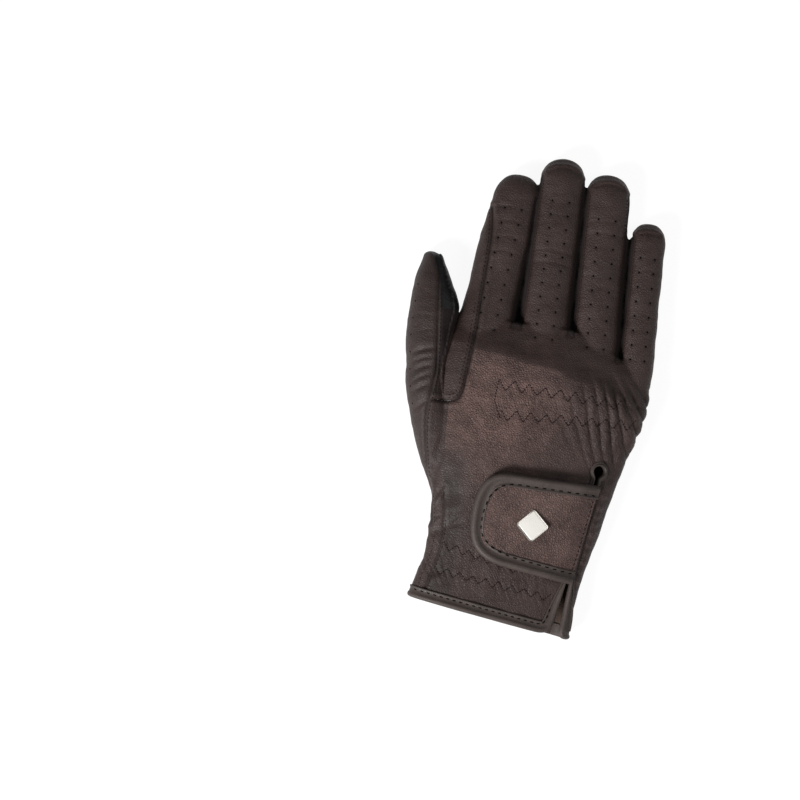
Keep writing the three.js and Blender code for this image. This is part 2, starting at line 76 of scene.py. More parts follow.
THUMB = {
    "along": (0, 0.13, 0.2, 0.3, 0.385, 0.46, 0.54, 0.614, 0.71, 0.78, 0.836, 0.897, 0.94, 0.968),
    "side": (0.95, 0.76, 0.63, 0.5, 0.36, 0.24, 0.17, 0.15, 0.18, 0.22, 0.16, 0.09, 0.06, 0.03),
    "width": (0.3, 0.6, 0.73, 0.83, 0.87, 0.82, 0.755, 0.87, 0.98, 1.04, 0.91, 0.72, 0.53, 0.39),
    "depth": (0.62, 0.82, 0.9, 0.98, 1.04, 1.06, 1.06, 1.06, 1.04, 1, 0.94, 0.84, 0.7, 0.56),
}
FINGERS = {
    "index": {"width": 1.04, "depth": 0.97, "root": -27.4, "tip": -21.2, "start": 0, "length": 0.88,
              "taper": -0.02, "holes": (9, -0.068, 0.757)},
    "middle": {"width": 1, "depth": 1, "root": 0.1, "tip": -0.8, "start": 0, "length": 1.01,
               "taper": 0.05, "holes": (11, -0.07, 0.74)},
    "ring": {"width": 0.958, "depth": 0.97, "root": 25, "tip": 21.6, "start": 0, "length": 0.952,
             "taper": 0.06, "holes": (10, -0.09, 0.71)},
    "little": {"width": 0.71, "depth": 0.9, "root": 46.1, "tip": 43.9, "start": 0.47, "length": 0.796,
               "taper": 0.12, "holes": (8, -0.028, 0.732)},
}


def column(table, key, along, blur=0.05):
    """One column of a section table, rounded off between its rows."""
    shifts = np.linspace(-blur, blur, 9)
    return sum(np.interp(np.asarray(along) + shift, table["along"], table[key]) for shift in shifts) / len(shifts)


def ring(x, y, z, half_x, up, down, square, floor=0.0, lean=0.0, sides=120):
    """One section: a rounded box, flat where it rests."""
    angle = 2 * np.pi * (np.arange(sides) + 0.5) / sides
    across, upright = (np.sign(f) * np.abs(f) ** (2 / square) for f in (np.cos(angle), np.sin(angle)))
    height = z + np.where(upright > 0, up, down) * upright
    height = np.maximum(height, floor)
    return np.stack([x + half_x * across + lean * (height - z), np.full(sides, y), height], axis=1)


def pick(*pieces):
    """Selects these pieces alone, and makes the first one active."""
    bpy.ops.object.select_all(action="DESELECT")
    for piece in pieces:
        piece.select_set(True)
    bpy.context.view_layer.objects.active = pieces[0]


def new_mesh(name, points, faces):
    """A mesh from points in millimetres."""
    mesh = bpy.data.meshes.new(name)
    mesh.from_pydata((np.asarray(points) * MM).tolist(), [], [list(face) for face in faces])
    piece = bpy.data.objects.new(name, mesh)
    bpy.context.collection.objects.link(piece)
    return piece


def loft(name, rings):
    """A closed solid through rings of equally many points."""
    rings = np.asarray(rings)
    count, sides = rings.shape[:2]
    points = np.concatenate([rings.reshape(-1, 3), [rings[0].mean(axis=0), rings[-1].mean(axis=0)]])
    faces = []
    for r in range(count - 1):
        for i in range(sides):
            j = (i + 1) % sides
            faces.append((r * sides + i, r * sides + j, (r + 1) * sides + j, (r + 1) * sides + i))
    for i in range(sides):
        j = (i + 1) % sides
        faces.append((count * sides, j, i))
        faces.append((count * sides + 1, (count - 1) * sides + i, (count - 1) * sides + j))
    piece = new_mesh(name, points, faces)
    piece.data.flip_normals()
    return piece


def knuckle_arch(x):
    """How far the little finger's side of the knuckles lies back towards the wrist."""
    return LITTLE_DROP * np.clip((np.asarray(x) / HAND_WIDTH - 0.14) / 0.4, 0, 1)


def hand_y(along):
    return -WRIST_REACH + along * HAND_LENGTH


def hand_along(y):
    return (np.asarray(y) + WRIST_REACH) / HAND_LENGTH


def hand_ring(along, grow):
    """One section round the hand, grown by a distance."""
    left, right, share, lift = (float(column(HAND, key, along, HAND_BLUR))
                                for key in ("left", "right", "depth", "lift"))
    depth = share * HAND_DEPTH
    points = ring((left + right) / 2 * HAND_WIDTH, hand_y(along), HAND_MIDDLE * depth,
                  (right - left) / 2 * HAND_WIDTH + grow, HAND_ABOVE * depth + grow, HAND_BELOW * depth + grow,
                  HAND_SQUARE, max(lift * FOLDED_TAPE - grow, 0), sides=240)
    points[:, 1] -= np.clip((along - 0.6) / 0.4, 0, 1) * knuckle_arch(points[:, 0])
    return points


def tube(name, rows, tip_x, tip_y, grow, square, lean=0.0, blunt=0.8):
    """A finger: its sections, then a round tip."""
    rings = [ring(x, y, FINGER_MIDDLE * d, w + grow, FINGER_ABOVE * d + grow, FINGER_BELOW * d + grow, square,
                  max(-grow, 0), lean) for x, y, d, w in rows]
    x, y, depth, width = rows[-1]
    for angle in np.linspace(0, 0.49 * np.pi, 15)[1:]:
        shrink, reach = np.cos(angle) ** blunt, np.sin(angle)
        rings.append(ring(x + (tip_x - x) * reach, y + (tip_y + grow - y) * reach,
                          (FINGER_MIDDLE - 0.07 * reach) * depth, (width + grow) * shrink,
                          (FINGER_ABOVE * depth + grow) * shrink, (FINGER_BELOW * depth + grow) * shrink,
                          square, max(-grow, 0), lean))
    return loft(name, rings)


def finger_root_y(finger):
    return KNUCKLE_REACH - finger["start"] * LITTLE_DROP


def finger_length(finger):
    return finger["length"] * FINGER_LENGTH


def finger_x(finger, along):
    return finger["root"] + (finger["tip"] - finger["root"]) * along


def finger_y(finger, along):
    return finger_root_y(finger) + finger_length(finger) * along


def finger_along(finger, y):
    return (y - finger_root_y(finger)) / finger_length(finger)


def finger_half(finger, along):
    """Half a finger's width at a place along it."""
    kept = 1 + finger["taper"] * np.clip((np.asarray(along) - 0.5) / 0.35, 0, 1)
    return finger["width"] * FINGER_WIDTH / 2 * column(FINGER, "width", along) * kept


def thumb_x(side):
    return THUMB_TIP_X + side * THUMB_WIDTH


def thumb_y(along):
    return THUMB_REACH - (1 - along) * THUMB_LENGTH


def thumb_along(y):
    return 1 - (THUMB_REACH - y) / THUMB_LENGTH


def thumb_edge(y, side, share=1.0):
    """A place between the thumb's middle line and its edge, on its outer (-1) or inner (1) side."""
    along = thumb_along(y)
    return thumb_x(column(THUMB, "side", along)) + side * share * THUMB_WIDTH / 2 * column(THUMB, "width", along)


def glove_form(name, grow, voxel, rounds):
    """The whole form, grown by a distance, as one even closed surface."""
    parts = [loft("hand", [hand_ring(along, grow) for along in np.linspace(-0.06, 1, 140)])]
    for finger in FINGERS.values():
        rows = [(finger_x(finger, a), finger_y(finger, a),
                 finger["depth"] * FINGER_DEPTH * column(FINGER, "depth", a), finger_half(finger, a))
                for a in np.linspace(FINGER_START, FINGER_TIP, 60)]
        parts.append(tube("finger", rows, finger["tip"], finger_y(finger, 1), grow, 2.3))
    rows = [(thumb_x(column(THUMB, "side", a, THUMB_BLUR)), thumb_y(a),
             THUMB_DEPTH * column(THUMB, "depth", a, THUMB_BLUR),
             THUMB_WIDTH / 2 * column(THUMB, "width", a, 0.02))
            for a in np.linspace(0, THUMB_TIP, 76)]
    parts.append(tube("thumb", rows, THUMB_TIP_X, THUMB_REACH, grow, 2.1, lean=0.2, blunt=0.9))
    pick(*parts)
    bpy.ops.object.join()
    form = bpy.context.object
    form.name = name
    apply(form, "REMESH", mode="VOXEL", voxel_size=voxel * MM)
    apply(form, "SMOOTH", factor=0.5, iterations=rounds)
    return form


def apply(piece, kind, **settings):
    """Adds a modifier with its settings and applies it."""
    modifier = piece.modifiers.new(kind.title(), kind)
    for key, value in settings.items():
        setattr(modifier, key, value)
    pick(piece)
    bpy.ops.object.modifier_apply(modifier=modifier.name)


def points_of(piece):
    points = np.empty(len(piece.data.vertices) * 3)
    piece.data.vertices.foreach_get("co", points)
    return points.reshape(-1, 3) / MM


def normals_of(piece):
    normals = np.empty(len(piece.data.vertices) * 3)
    piece.data.vertices.foreach_get("normal", normals)
    return normals.reshape(-1, 3)


def move_points(piece, points):
    piece.data.vertices.foreach_set("co", (points * MM).ravel())
    piece.data.update()


# The outside is joined a little too thin and then grown, which keeps the crotches between the fingers open.
SHRUNK = 0.7
VOXEL = 0.575
outside = glove_form("outside", -SHRUNK, VOXEL, 12)
grown = points_of(outside) + SHRUNK * normals_of(outside)
grown[:, 2] = np.maximum(grown[:, 2], 0)
move_points(outside, grown)
inside = glove_form("inside", -LEATHER, 1.3, 4)


# Seams and relief
# The pieces are sewn edge to edge with fine thread, which draws the leather down into a groove at each seam.
# Elastic under the back and the wrist gathers it in folds, and wear has creased the fingers and the thumb.
def curve(*points, steps=14):
    """Points along a Bezier curve with any number of handles."""
    points = np.array(points, dtype=float)
    found = []
    for t in np.linspace(0, 1, steps):
        level = points
        while len(level) > 1:
            level = level[:-1] + (level[1:] - level[:-1]) * t
        found.append(level[0])
    return np.array(found)


def distance_to(path, xy, closed=False):
    """How far each point lies from a line, seen from above."""
    path = np.asarray(path, dtype=float)
    ends = np.roll(path, -1, axis=0) if closed else path[1:]
    starts = path if closed else path[:-1]
    nearest = np.full(len(xy), 1e9)
    for a, b in zip(starts, ends):
        span = b - a
        t = np.clip(((xy - a) @ span) / max(span @ span, 1e-9), 0, 1)
        nearest = np.minimum(nearest, np.hypot(*(xy - a - t[:, None] * span).T))
    return nearest


def bump(distance, width):
    """A smooth rise from 0 to 1 around a distance of 0."""
    return np.exp(-((distance / width) ** 2))


def step(t):
    """A smooth step from 0 to 1."""
    t = np.clip(t, 0, 1)
    return t * t * (3 - 2 * t)


def crotch_y(left, right):
    return max(finger_root_y(left), finger_root_y(right)) - knuckle_arch((left["root"] + right["root"]) / 2)


def fourchette_outline(left, right, spare=0.0):
    """The strip between two fingers, with a leg along each."""
    foot = crotch_y(left, right) - SEAM_INSET - LEATHER - spare

    def leg(finger, side):
        end = finger_y(finger, 1) - 0.42 * finger["width"] * FINGER_WIDTH + spare
        y = np.linspace(foot, end, 30)
        along = finger_along(finger, y)
        half = finger_half(finger, along) - SEAM_INSET - spare
        edge = np.stack([finger_x(finger, along) + side * half, y], axis=1)
        middle = (finger_x(left, finger_along(left, end)) + finger_x(right, finger_along(right, end))) / 2
        return np.concatenate([edge, [[middle, end]]])

    return np.concatenate([leg(right, -1), leg(left, 1)[::-1]])


TONGUE_WIDTH, TONGUE_FOOT = 13, 8.4
index = FINGERS["index"]


def hand_left(y):
    return column(HAND, "left", hand_along(y), HAND_BLUR) * HAND_WIDTH


def side_panel_outline(spare=0.0):
    """The strip on the index finger's side: round its tongue, then up along the finger."""
    left = float(hand_left(TONGUE_FOOT))
    index_width = index["width"] * FINGER_WIDTH
    top = finger_y(index, 1) - 0.72 * index_width + spare
    tongue, foot = left + TONGUE_WIDTH + spare, TONGUE_FOOT - spare

    def edge(along, share):
        return finger_x(index, along) - (1 - share) * finger_half(index, along) + spare

    return np.concatenate([
        [(left - index_width, top), (left - index_width, foot)],
        curve((left + 0.2 * TONGUE_WIDTH, foot), (left + 0.7 * TONGUE_WIDTH, foot), (tongue, foot),
              (tongue, foot + TONGUE_WIDTH)),
        curve((tongue, foot + TONGUE_WIDTH), (tongue + 0.15 * TONGUE_WIDTH, KNUCKLE_REACH - TONGUE_WIDTH),
              (edge(0.15, 0.58), finger_y(index, 0.15)))[1:],
        curve((edge(0.4, 0.48), finger_y(index, 0.4)), (edge(0.6, 0.4), finger_y(index, 0.62)),
              (edge(0.75, 0.1), top)),
    ])


def slot_outline(spare=0.0):
    """All that lies on the thumb's side of the hand's edge, above the tongue's foot."""
    y = np.linspace(TONGUE_FOOT, KNUCKLE_REACH, 30)
    slot = np.stack([hand_left(y) - 0.3 + spare, y], axis=1)
    foot = TONGUE_FOOT - 0.6
    return np.concatenate([[(-FAR, foot), (slot[0][0], foot)], slot, [(slot[-1][0], FAR), (-FAR, FAR)]])


THUMB_SEAM = {
    "along": (-0.1, 0, 0.09, 0.23, 0.35, 0.42, 0.51, 0.6, 0.68, 0.8, 0.9, 1.02),
    "side": (0.84, 0.74, 0.58, 0.42, 0.36, 0.41, 0.46, 0.41, 0.37, 0.3, 0.25, 0.02),
}
THUMB_LEAN = 0.25


def thumb_seam(spare=0.0):
    along = np.linspace(1.02, -0.1, 60)
    return np.stack([thumb_x(column(THUMB_SEAM, "side", along, 0.03)) + spare, thumb_y(along)], axis=1)


def thumb_outline(spare=0.0):
    line = thumb_seam(spare)
    return np.concatenate([line, [(-FAR, line[-1][1]), (-FAR, line[0][1])]])[::-1]


THENAR_WIDTH, THENAR_LENGTH, THENAR_TOP = 60, 73, 15


def thenar_outline(spare=0.0):
    """The thumb's oval, let into the palm."""
    left = float(hand_left(hand_y(0.5)))
    middle_x, foot = left + 0.42 * THENAR_WIDTH, THENAR_TOP - THENAR_LENGTH
    angle = np.linspace(-np.pi / 2, np.pi / 2, 40)
    bow = np.stack([middle_x + (left + THENAR_WIDTH - middle_x + spare) * np.cos(angle),
                    THENAR_TOP - THENAR_LENGTH / 2 + (THENAR_LENGTH / 2 + spare) * np.sin(angle)], axis=1)
    return np.concatenate([[(-FAR, foot - spare)], bow, [(left, THENAR_TOP + spare), (-FAR, THENAR_TOP + spare)]])


SIDE_SEAM_INSET = 6.5


def side_seam(spare=0.0):
    y = hand_y(np.linspace(0.72, -0.1, 40))
    return np.stack([hand_left(y) + SIDE_SEAM_INSET - spare, y], axis=1)


def back_outline(spare=0.0):
    line = side_seam(spare)
    return np.concatenate([line, [(FAR, line[-1][1]), (FAR, FAR), (line[0][0], FAR)]])


def hem_y(x):
    return -WRIST_REACH - np.asarray(x) * HEM_SLOPE


AIR_HOLE, HOLE_SPREAD, HOLE_SIDES = 1.0, 4.1, 8
pairs = [("index", "middle"), ("middle", "ring"), ("ring", "little")]


def hole_places(finger):
    """Two rows of air holes along a finger."""
    spread = HOLE_SPREAD * min(1, finger["width"] * FINGER_WIDTH / 20)
    return [(finger_x(finger, along) + side * spread, finger_y(finger, along))
            for along in np.linspace(*finger["holes"][1:], finger["holes"][0]) for side in (-1, 1)]


def edges_between(left, right, at):
    """The facing edges of two neighbouring fingers at places along them."""
    return (finger_x(left, finger_along(left, at)) + finger_half(left, finger_along(left, at)),
            finger_x(right, finger_along(right, at)) - finger_half(right, finger_along(right, at)))


# The soft strips between two fingers swell until they meet, so that no light comes through between them.
OVERLAP = 0.25
points = points_of(outside)
x, y, z = points.T
for left, right in pairs:
    left, right = FINGERS[left], FINGERS[right]
    left_edge, right_edge = edges_between(left, right, y)
    half_gap = np.maximum((right_edge - left_edge) / 2 + OVERLAP, 0)
    tip = min(finger_y(left, 1), finger_y(right, 1))
    swell = half_gap * bump(z - 4, 3.6) * step((tip - 5 - y) / 9) * step((y - crotch_y(left, right) + 6) / 4)
    middle = (left_edge + right_edge) / 2
    x += swell * step((x - left_edge + 3.2) / 3.2) * (x < middle) * (x > left_edge - 4)
    x -= swell * step((right_edge + 3.2 - x) / 3.2) * (x >= middle) * (x < right_edge + 4)

# The thumb leans on the hand in the same way.
inner_edge = thumb_edge(y, 1)
hand_edge = np.minimum(hand_left(y), finger_x(index, finger_along(index, y)) - finger_half(index, 0.0))
half_gap = np.maximum((hand_edge - inner_edge) / 2 + OVERLAP, 0) * (y > 5)
swell = half_gap * bump(z - 8, 5) * step((56 - y) / 7) * step((y - 12) / 6)
middle = (inner_edge + hand_edge) / 2
x += swell * step((x - inner_edge + 3.5) / 3.5) * (x < middle) * (x > inner_edge - 4)
x -= swell * step((hand_edge + 3.5 - x) / 3.5) * (x >= middle) * (x < hand_edge + 4)
move_points(outside, points)
apply(outside, "REMESH", mode="VOXEL", voxel_size=VOXEL * MM)
apply(outside, "SMOOTH", factor=0.5, iterations=2)
points, normals = points_of(outside), normals_of(outside)
xy, x, y, z = points[:, :2], points[:, 0], points[:, 1], points[:, 2]
top = step((z - 5) / 3)
under = 1 - top
relief = np.zeros(len(points))


def sew(path, side, closed=False, depth=0.5, puff=0.16):
    """A seam's groove, with the leather puffed up beside it."""
    gap = distance_to(path, xy, closed)
    return side * (puff * bump(gap - 2.1, 1.1) - depth * bump(gap, 0.75))


for left, right in pairs:
    outline = fourchette_outline(FINGERS[left], FINGERS[right])
    relief += sew(outline, top, closed=True, depth=0.3, puff=0.1) + sew(outline, under, closed=True)
panel = side_panel_outline()
tongue = np.concatenate([[(float(hand_left(TONGUE_FOOT)) - 1, TONGUE_FOOT)], panel[2:]])
relief += sew(tongue, top, depth=0.7, puff=0.25)
relief += sew(side_seam()[14:], top, depth=0.35)
relief += sew(thumb_seam(), top, depth=0.6, puff=0.2)
relief += sew(thenar_outline()[1:-2], under, puff=0.3)
relief -= 0.4 * bump(z - SEAM_HEIGHT, 0.7) * step((x + 36) / 3) * (np.abs(normals[:, 2]) < 0.8)
PANEL_RISE = 0.75
inside_panel = ((x < np.interp(y, [8, 15, 50, 102], [-36, -32.5, -32.2, -31.5])) & (y > 9)
                & (x > thumb_edge(y, 1) - 1.5))
relief += PANEL_RISE * top * inside_panel * step(distance_to(tongue, xy) / 2.6) * step((101 - y) / 12)


KNUCKLE_RISE = 1.7
KNUCKLES = {"x": [-46, -34, -22, -2, 10, 26, 38, 56], "y": [34, 36, 33.5, 31, 28.5, 24, 18, 8]}


def knuckle_line(x):
    """Where the knuckles raise the back: beyond it the leather has a smoother grain and is painted in shade, and
    before it it keeps its full grain.
    """
    return np.interp(x, KNUCKLES["x"], KNUCKLES["y"]) + 0.6 * np.sin(x / 3.7)


beyond = y - knuckle_line(x)
ridge = np.where(beyond < 0, bump(beyond, 15), bump(beyond, 6))
relief += top * ridge * KNUCKLE_RISE * step((56 - np.abs(x)) / 12)


def wobble(size, seed):
    """A smooth random height between -1 and 1, from a few crossing waves."""
    angles = np.random.default_rng(seed).uniform(0, 2 * np.pi, (5, 2))
    waves = [np.sin((x * np.cos(turn) + y * np.sin(turn)) * 2 * np.pi / size / (0.7 + 0.18 * n) + start)
             for n, (turn, start) in enumerate(angles)]
    return sum(waves) / 3


relief += 0.16 * wobble(17, 1) + 0.07 * wobble(7, 2)

# Elastic rows: the ends of each zigzag on the glove
ZIGZAGS = {
    "upper": {"from": (-18.3, 19.7), "to": (44.5, 17.2)},
    "lower": {"from": (-15.3, 5.1), "to": (49, 9)},
    "wrist": {"from": (-33.5, -60.2), "to": (4, -67.6)},
    "cuff": {"from": (-36.5, -72.4), "to": (20.5, -78.4)},
    "palm_wrist": {"from": (-33, -60), "to": (27, -67)},
    "palm_cuff": {"from": (-35, -72), "to": (25, -79)},
}


def row_y(name, at):
    """The height of a zigzag's middle line on the glove."""
    (x0, y0), (x1, y1) = ZIGZAGS[name]["from"], ZIGZAGS[name]["to"]
    return y0 + (y1 - y0) * (at - x0) / (x1 - x0)


def gathered(across, size):
    """Rounded folds with narrow valleys between them."""
    return np.abs(np.sin(np.pi * across / size)) ** 0.75 - 0.55


upper, lower = row_y("upper", x), row_y("lower", x)
rightwards = step((x - 4) / 34)
below = step(1 - (lower - y) / (9 + 24 * rightwards)) * (y < lower)
above = step(1 - (y - upper) / (4 + 12 * rightwards)) * (y > upper)
between = ((y <= upper) & (y >= lower)).astype(float)
reach = (below + above + 0.7 * between) * step((x + 19) / 4) * top
across = x + 0.42 * (y - lower) + 1.7 * np.sin(y / 9 + x / 13) + 1.1 * np.sin(x / 5.3)
relief += reach * (0.15 + 1.2 * rightwards) * gathered(across, 5.2)
relief += reach * between * (0.2 + 0.3 * rightwards) * gathered(x + 0.9 * np.sin(y / 2.3), 3.6)
relief += reach * (0.1 + 0.2 * rightwards) * gathered(across + 2 * wobble(9, 3), 2.9)
for name, depth in (("wrist", 0.2), ("cuff", 0.26)):
    off = y - row_y(name, x)
    fade = step(1 - np.abs(off) / 9) * step((22 - x) / 6)
    relief += depth * fade * gathered(x + 0.35 * off + 1.4 * np.sin(off / 3 + x / 6), 3.7) * (top + 0.6 * under)
    relief += 0.12 * fade * gathered(x - 0.5 * off + 2 * wobble(8, 4), 2.4)
for name in ("upper", "lower"):
    relief -= 0.2 * bump(y - row_y(name, x), 1.6) * step((x + 19) / 2) * top
# Beside the closing tab's sewn edge, the seam puckers the leather into a raised strip.
sewn_edge = np.interp(y, [-70, -55, -45, -33, -24], [28.9, 31.4, 33.3, 34.8, 35.9])
relief += top * bump(x - sewn_edge - 2.9, 1.9) * step((y + 74) / 6) * step((-14 - y) / 8) * (
    0.75 + 0.3 * np.sin(y * 1.35 + 0.5 * np.sin(y / 3)))

# Folds and creases: where each one starts and ends, how wide it is and how far it stands up or sinks in
FOLDS = [
    {"ends": ((-64, 27), (-50.5, 32.5)), "width": 1.3, "height": -0.75},
    {"ends": ((-63.5, 22.5), (-51, 28.5)), "width": 1.0, "height": -0.55},
    {"ends": ((-62, 18), (-50.5, 25)), "width": 1.3, "height": -0.75},
    {"ends": ((-61, 13), (-51, 20.5)), "width": 1.0, "height": -0.5},
    {"ends": ((-59.5, 9), (-50, 16)), "width": 1.3, "height": -0.75},
    {"ends": ((-57, 1), (-50, 8)), "width": 1.2, "height": -0.65},
    {"ends": ((-49, -20), (-43.5, -33)), "width": 1.0, "height": 0.5},
    {"ends": ((-46.5, -19), (-41.8, -31)), "width": 0.9, "height": -0.6},
    {"ends": ((-37.9, -30.2), (-41.8, -39.6)), "width": 0.9, "height": -0.6},
    {"ends": ((-36.4, -31), (-40.5, -42)), "width": 1.0, "height": 0.5},
    {"ends": ((-42, -50), (-36, -46)), "width": 0.9, "height": -0.5},
    {"ends": ((-33, -50), (-24.5, -42.5)), "width": 1.1, "height": 0.4},
    {"ends": ((-66, 37), (-53, 41)), "width": 1.0, "height": -0.2},
    {"ends": ((-66, 46), (-54, 47.5)), "width": 1.0, "height": -0.16},
    {"ends": ((-61, 68.3), (-54.5, 68)), "width": 1.0, "height": -0.3},
    {"ends": ((-64, 60), (-56, 58)), "width": 0.9, "height": -0.14},
    {"ends": ((-41, -52.5), (-23.5, -38)), "width": 3.2, "height": 0.55},
    {"ends": ((-42, -57), (-24, -47)), "width": 2.2, "height": -0.5},
    {"ends": ((-37, -39.5), (-28, -33)), "width": 2.4, "height": -0.4},
    {"ends": ((-43, -40), (-38.5, -12)), "width": 1.6, "height": -0.5},
    {"ends": ((-46, -26), (-40, 0)), "width": 1.6, "height": 0.45},
    {"ends": ((-43, -62), (-38, -47)), "width": 2.0, "height": 0.5},
    {"ends": ((-46, -80), (-39, -63)), "width": 1.8, "height": -0.45},
    {"ends": ((-41, -84), (-30, -66)), "width": 1.5, "height": -0.25},
    {"ends": ((-38, -80), (-33, -75)), "width": 1.3, "height": 0.25},
    {"ends": ((35.5, -10), (38.5, 6)), "width": 2.2, "height": 0.5},
    {"ends": ((41.5, -12), (45.5, 4)), "width": 1.8, "height": -0.5},
    {"ends": ((38, -30), (43, -14)), "width": 1.6, "height": -0.4},
    {"ends": ((34.5, -47), (39, -30)), "width": 1.5, "height": 0.4},
    {"ends": ((31, -64), (35.5, -50)), "width": 1.4, "height": -0.4},
    {"ends": ((34.5, 33), (37.5, 18)), "width": 2.0, "height": -0.7},
    {"ends": ((38.5, 30), (41, 18)), "width": 1.8, "height": 0.35},
    {"ends": ((28, 30), (31, 20)), "width": 2.4, "height": 0.3},
    {"ends": ((-33, 82.6), (-15, 82)), "width": 0.8, "height": -0.16},
    {"ends": ((-32, 89.8), (-14, 89)), "width": 0.8, "height": -0.18},
    {"ends": ((-31, 97.6), (-14, 96.6)), "width": 0.8, "height": -0.18},
    {"ends": ((-34, 103.5), (-22, 105)), "width": 1.0, "height": -0.3},
    {"ends": ((-12, 85.9), (11, 85)), "width": 0.8, "height": -0.18},
    {"ends": ((-11, 80.2), (11, 79.2)), "width": 0.8, "height": -0.2},
    {"ends": ((-10, 103), (10, 102.5)), "width": 0.7, "height": -0.1},
    {"ends": ((13, 102.8), (33, 102.6)), "width": 0.8, "height": -0.16},
    {"ends": ((14, 97.4), (33, 97.2)), "width": 0.8, "height": -0.18},
    {"ends": ((22, 72), (35, 71)), "width": 0.8, "height": -0.14},
    {"ends": ((44, 84), (52, 82)), "width": 0.8, "height": -0.16},
    {"ends": ((41, 62), (53, 61)), "width": 0.7, "height": -0.1},
]
for fold in FOLDS:
    a, b = np.array(fold["ends"], dtype=float)
    span = b - a
    t = np.clip((xy - a) @ span / (span @ span), 0, 1)
    bend = np.stack([-span[1], span[0]]) * 0.06
    gap = np.hypot(*(xy - a - t[:, None] * span - np.sin(np.pi * t)[:, None] * bend).T)
    relief += top * fold["height"] * bump(gap, fold["width"]) * np.sin(np.pi * np.clip(t, 0.03, 0.97)) ** 0.5

# Where a fingertip's cap is turned over the end of the back
TIP_SEAM_INSET = 3.4


def tip_seam(finger):
    reach = 0.42 * finger["width"] * FINGER_WIDTH
    end, half = finger_y(finger, 1), finger_half(finger, 0.85) - 2
    angle = np.linspace(0.08, 0.92, 24) * np.pi
    return np.stack([finger_x(finger, 0.95) + half * np.cos(angle),
                     end - reach + (reach - TIP_SEAM_INSET) * np.sin(angle) ** 0.8], axis=1)


for name in ("middle", "ring", "little"):
    gap = distance_to(tip_seam(FINGERS[name]), xy)
    relief += top * (0.25 * bump(gap, 1.1) - 0.32 * bump(gap - 1.7, 1.0) * (y > finger_y(FINGERS[name], 0.9)))
HOLE_DIMPLE = 0.22
for finger in FINGERS.values():
    for hole_x, hole_y in hole_places(finger):
        relief -= HOLE_DIMPLE * top * bump(np.hypot(x - hole_x, y - hole_y), 0.9)


def zigzag(name, pitch, height):
    """The corners of a zigzag row, which wander a little as a sewing machine's do on soft leather."""
    (x0, y0), (x1, y1) = ZIGZAGS[name]["from"], ZIGZAGS[name]["to"]
    turns = round((x1 - x0) / pitch * 2)
    corner = np.arange(turns + 1)
    t = corner / turns
    swing = height * (0.5 + 0.06 * np.sin(7.1 * corner)) * (-1) ** corner
    return np.stack([x0 + (x1 - x0) * t + 0.35 * np.sin(4.3 * corner), y0 + (y1 - y0) * t + swing], axis=1)


BACK_PITCH, WRIST_PITCH, WRIST_HEIGHT = 7.3, 6.5, 3.8
ZIGZAG_GROOVE = 0.12
zigzag_rows = [zigzag("upper", BACK_PITCH, 5.2), zigzag("lower", BACK_PITCH, 5),
               zigzag("wrist", WRIST_PITCH, WRIST_HEIGHT), zigzag("cuff", WRIST_PITCH, WRIST_HEIGHT),
               np.array([(-18.5, 21.5), (-19.3, 12), (-15.5, 3.5)])]
for row in zigzag_rows:
    relief -= ZIGZAG_GROOVE * top * bump(distance_to(row, xy), 0.6)
# No groove is deeper than two thirds of the leather.
DEEPEST = 0.8
points = points + np.maximum(relief, -DEEPEST)[:, None] * normals
points[:, 2] = np.maximum(points[:, 2], 0)
move_points(outside, points)


# Leather looks
# Fine grained calf leather, dyed through: small pebbles with finer creases between them, a low wax sheen, and an
# uneven colour. The black patches are smoother and glossier, and the tape is smooth folded leather.
class Socket:
    """A shader socket that sums and products can be written with."""

    def __init__(self, look, socket):
        self.look, self.socket = look, socket

    def maths(self, operation, first, second=0.0):
        return self.look.node("ShaderNodeMath", {"operation": operation}, {0: first, 1: second})

    def __add__(self, other):
        return self.maths("ADD", self, other)

    def __rsub__(self, other):
        return self.maths("SUBTRACT", other, self)

    def __mul__(self, other):
        return self.maths("MULTIPLY", self, other)

    __radd__, __rmul__ = __add__, __mul__


class Look:
    """A material around one Principled shader."""

    def __init__(self, name, **constants):
        self.material = bpy.data.materials.new(name)
        self.material.use_nodes = True
        self.shader = self.material.node_tree.nodes["Principled BSDF"]
        for key, value in constants.items():
            self.shader.inputs[key.replace("_", " ")].default_value = value
        self.place = self.node("ShaderNodeTexCoord", output="Object")

    def node(self, kind, settings=None, inputs=None, output=0):
        """Adds a node with its settings and the values or links of its sockets."""
        node = self.material.node_tree.nodes.new(kind)
        for key, value in (settings or {}).items():
            setattr(node, key, value)
        for key, value in (inputs or {}).items():
            self.feed(node.inputs[key], value)
        return Socket(self, node.outputs[output])

    def feed(self, target, value):
        if isinstance(value, Socket):
            self.material.node_tree.links.new(value.socket, target)
        else:
            target.default_value = value

    def noise(self, size, detail=2.0, roughness=0.5, place=None):
        """Soft noise between 0 and 1, with blots of a size in millimetres."""
        return self.node("ShaderNodeTexNoise", {}, {
            "Vector": place or self.place, "Scale": 1 / (size * MM), "Detail": detail, "Roughness": roughness})

    def spread(self, value, low, high):
        """A value from low to high brought to 0 to 1."""
        return self.node("ShaderNodeMapRange", {"interpolation_type": "SMOOTHSTEP"}, {
            "Value": value, "From Min": low, "From Max": high})

    def blend(self, amount, first, second):
        """A colour between two others."""
        return self.node("ShaderNodeMix", {"data_type": "RGBA"}, {0: amount, 6: first, 7: second}, output=2)

    def set(self, key, value):
        self.feed(self.shader.inputs[key], value)

    def raise_by(self, height, depth):
        """Bumps the surface by a height from 0 to 1 times a depth in millimetres."""
        self.set("Normal", self.node("ShaderNodeBump", {}, {"Height": height, "Distance": depth * MM}))


def colour(red, green, blue):
    """A colour from 0 to 255 as it is seen, as the shader's linear colour."""
    return (*(((c / 255 + 0.055) / 1.055) ** 2.4 for c in (red, green, blue)), 1)


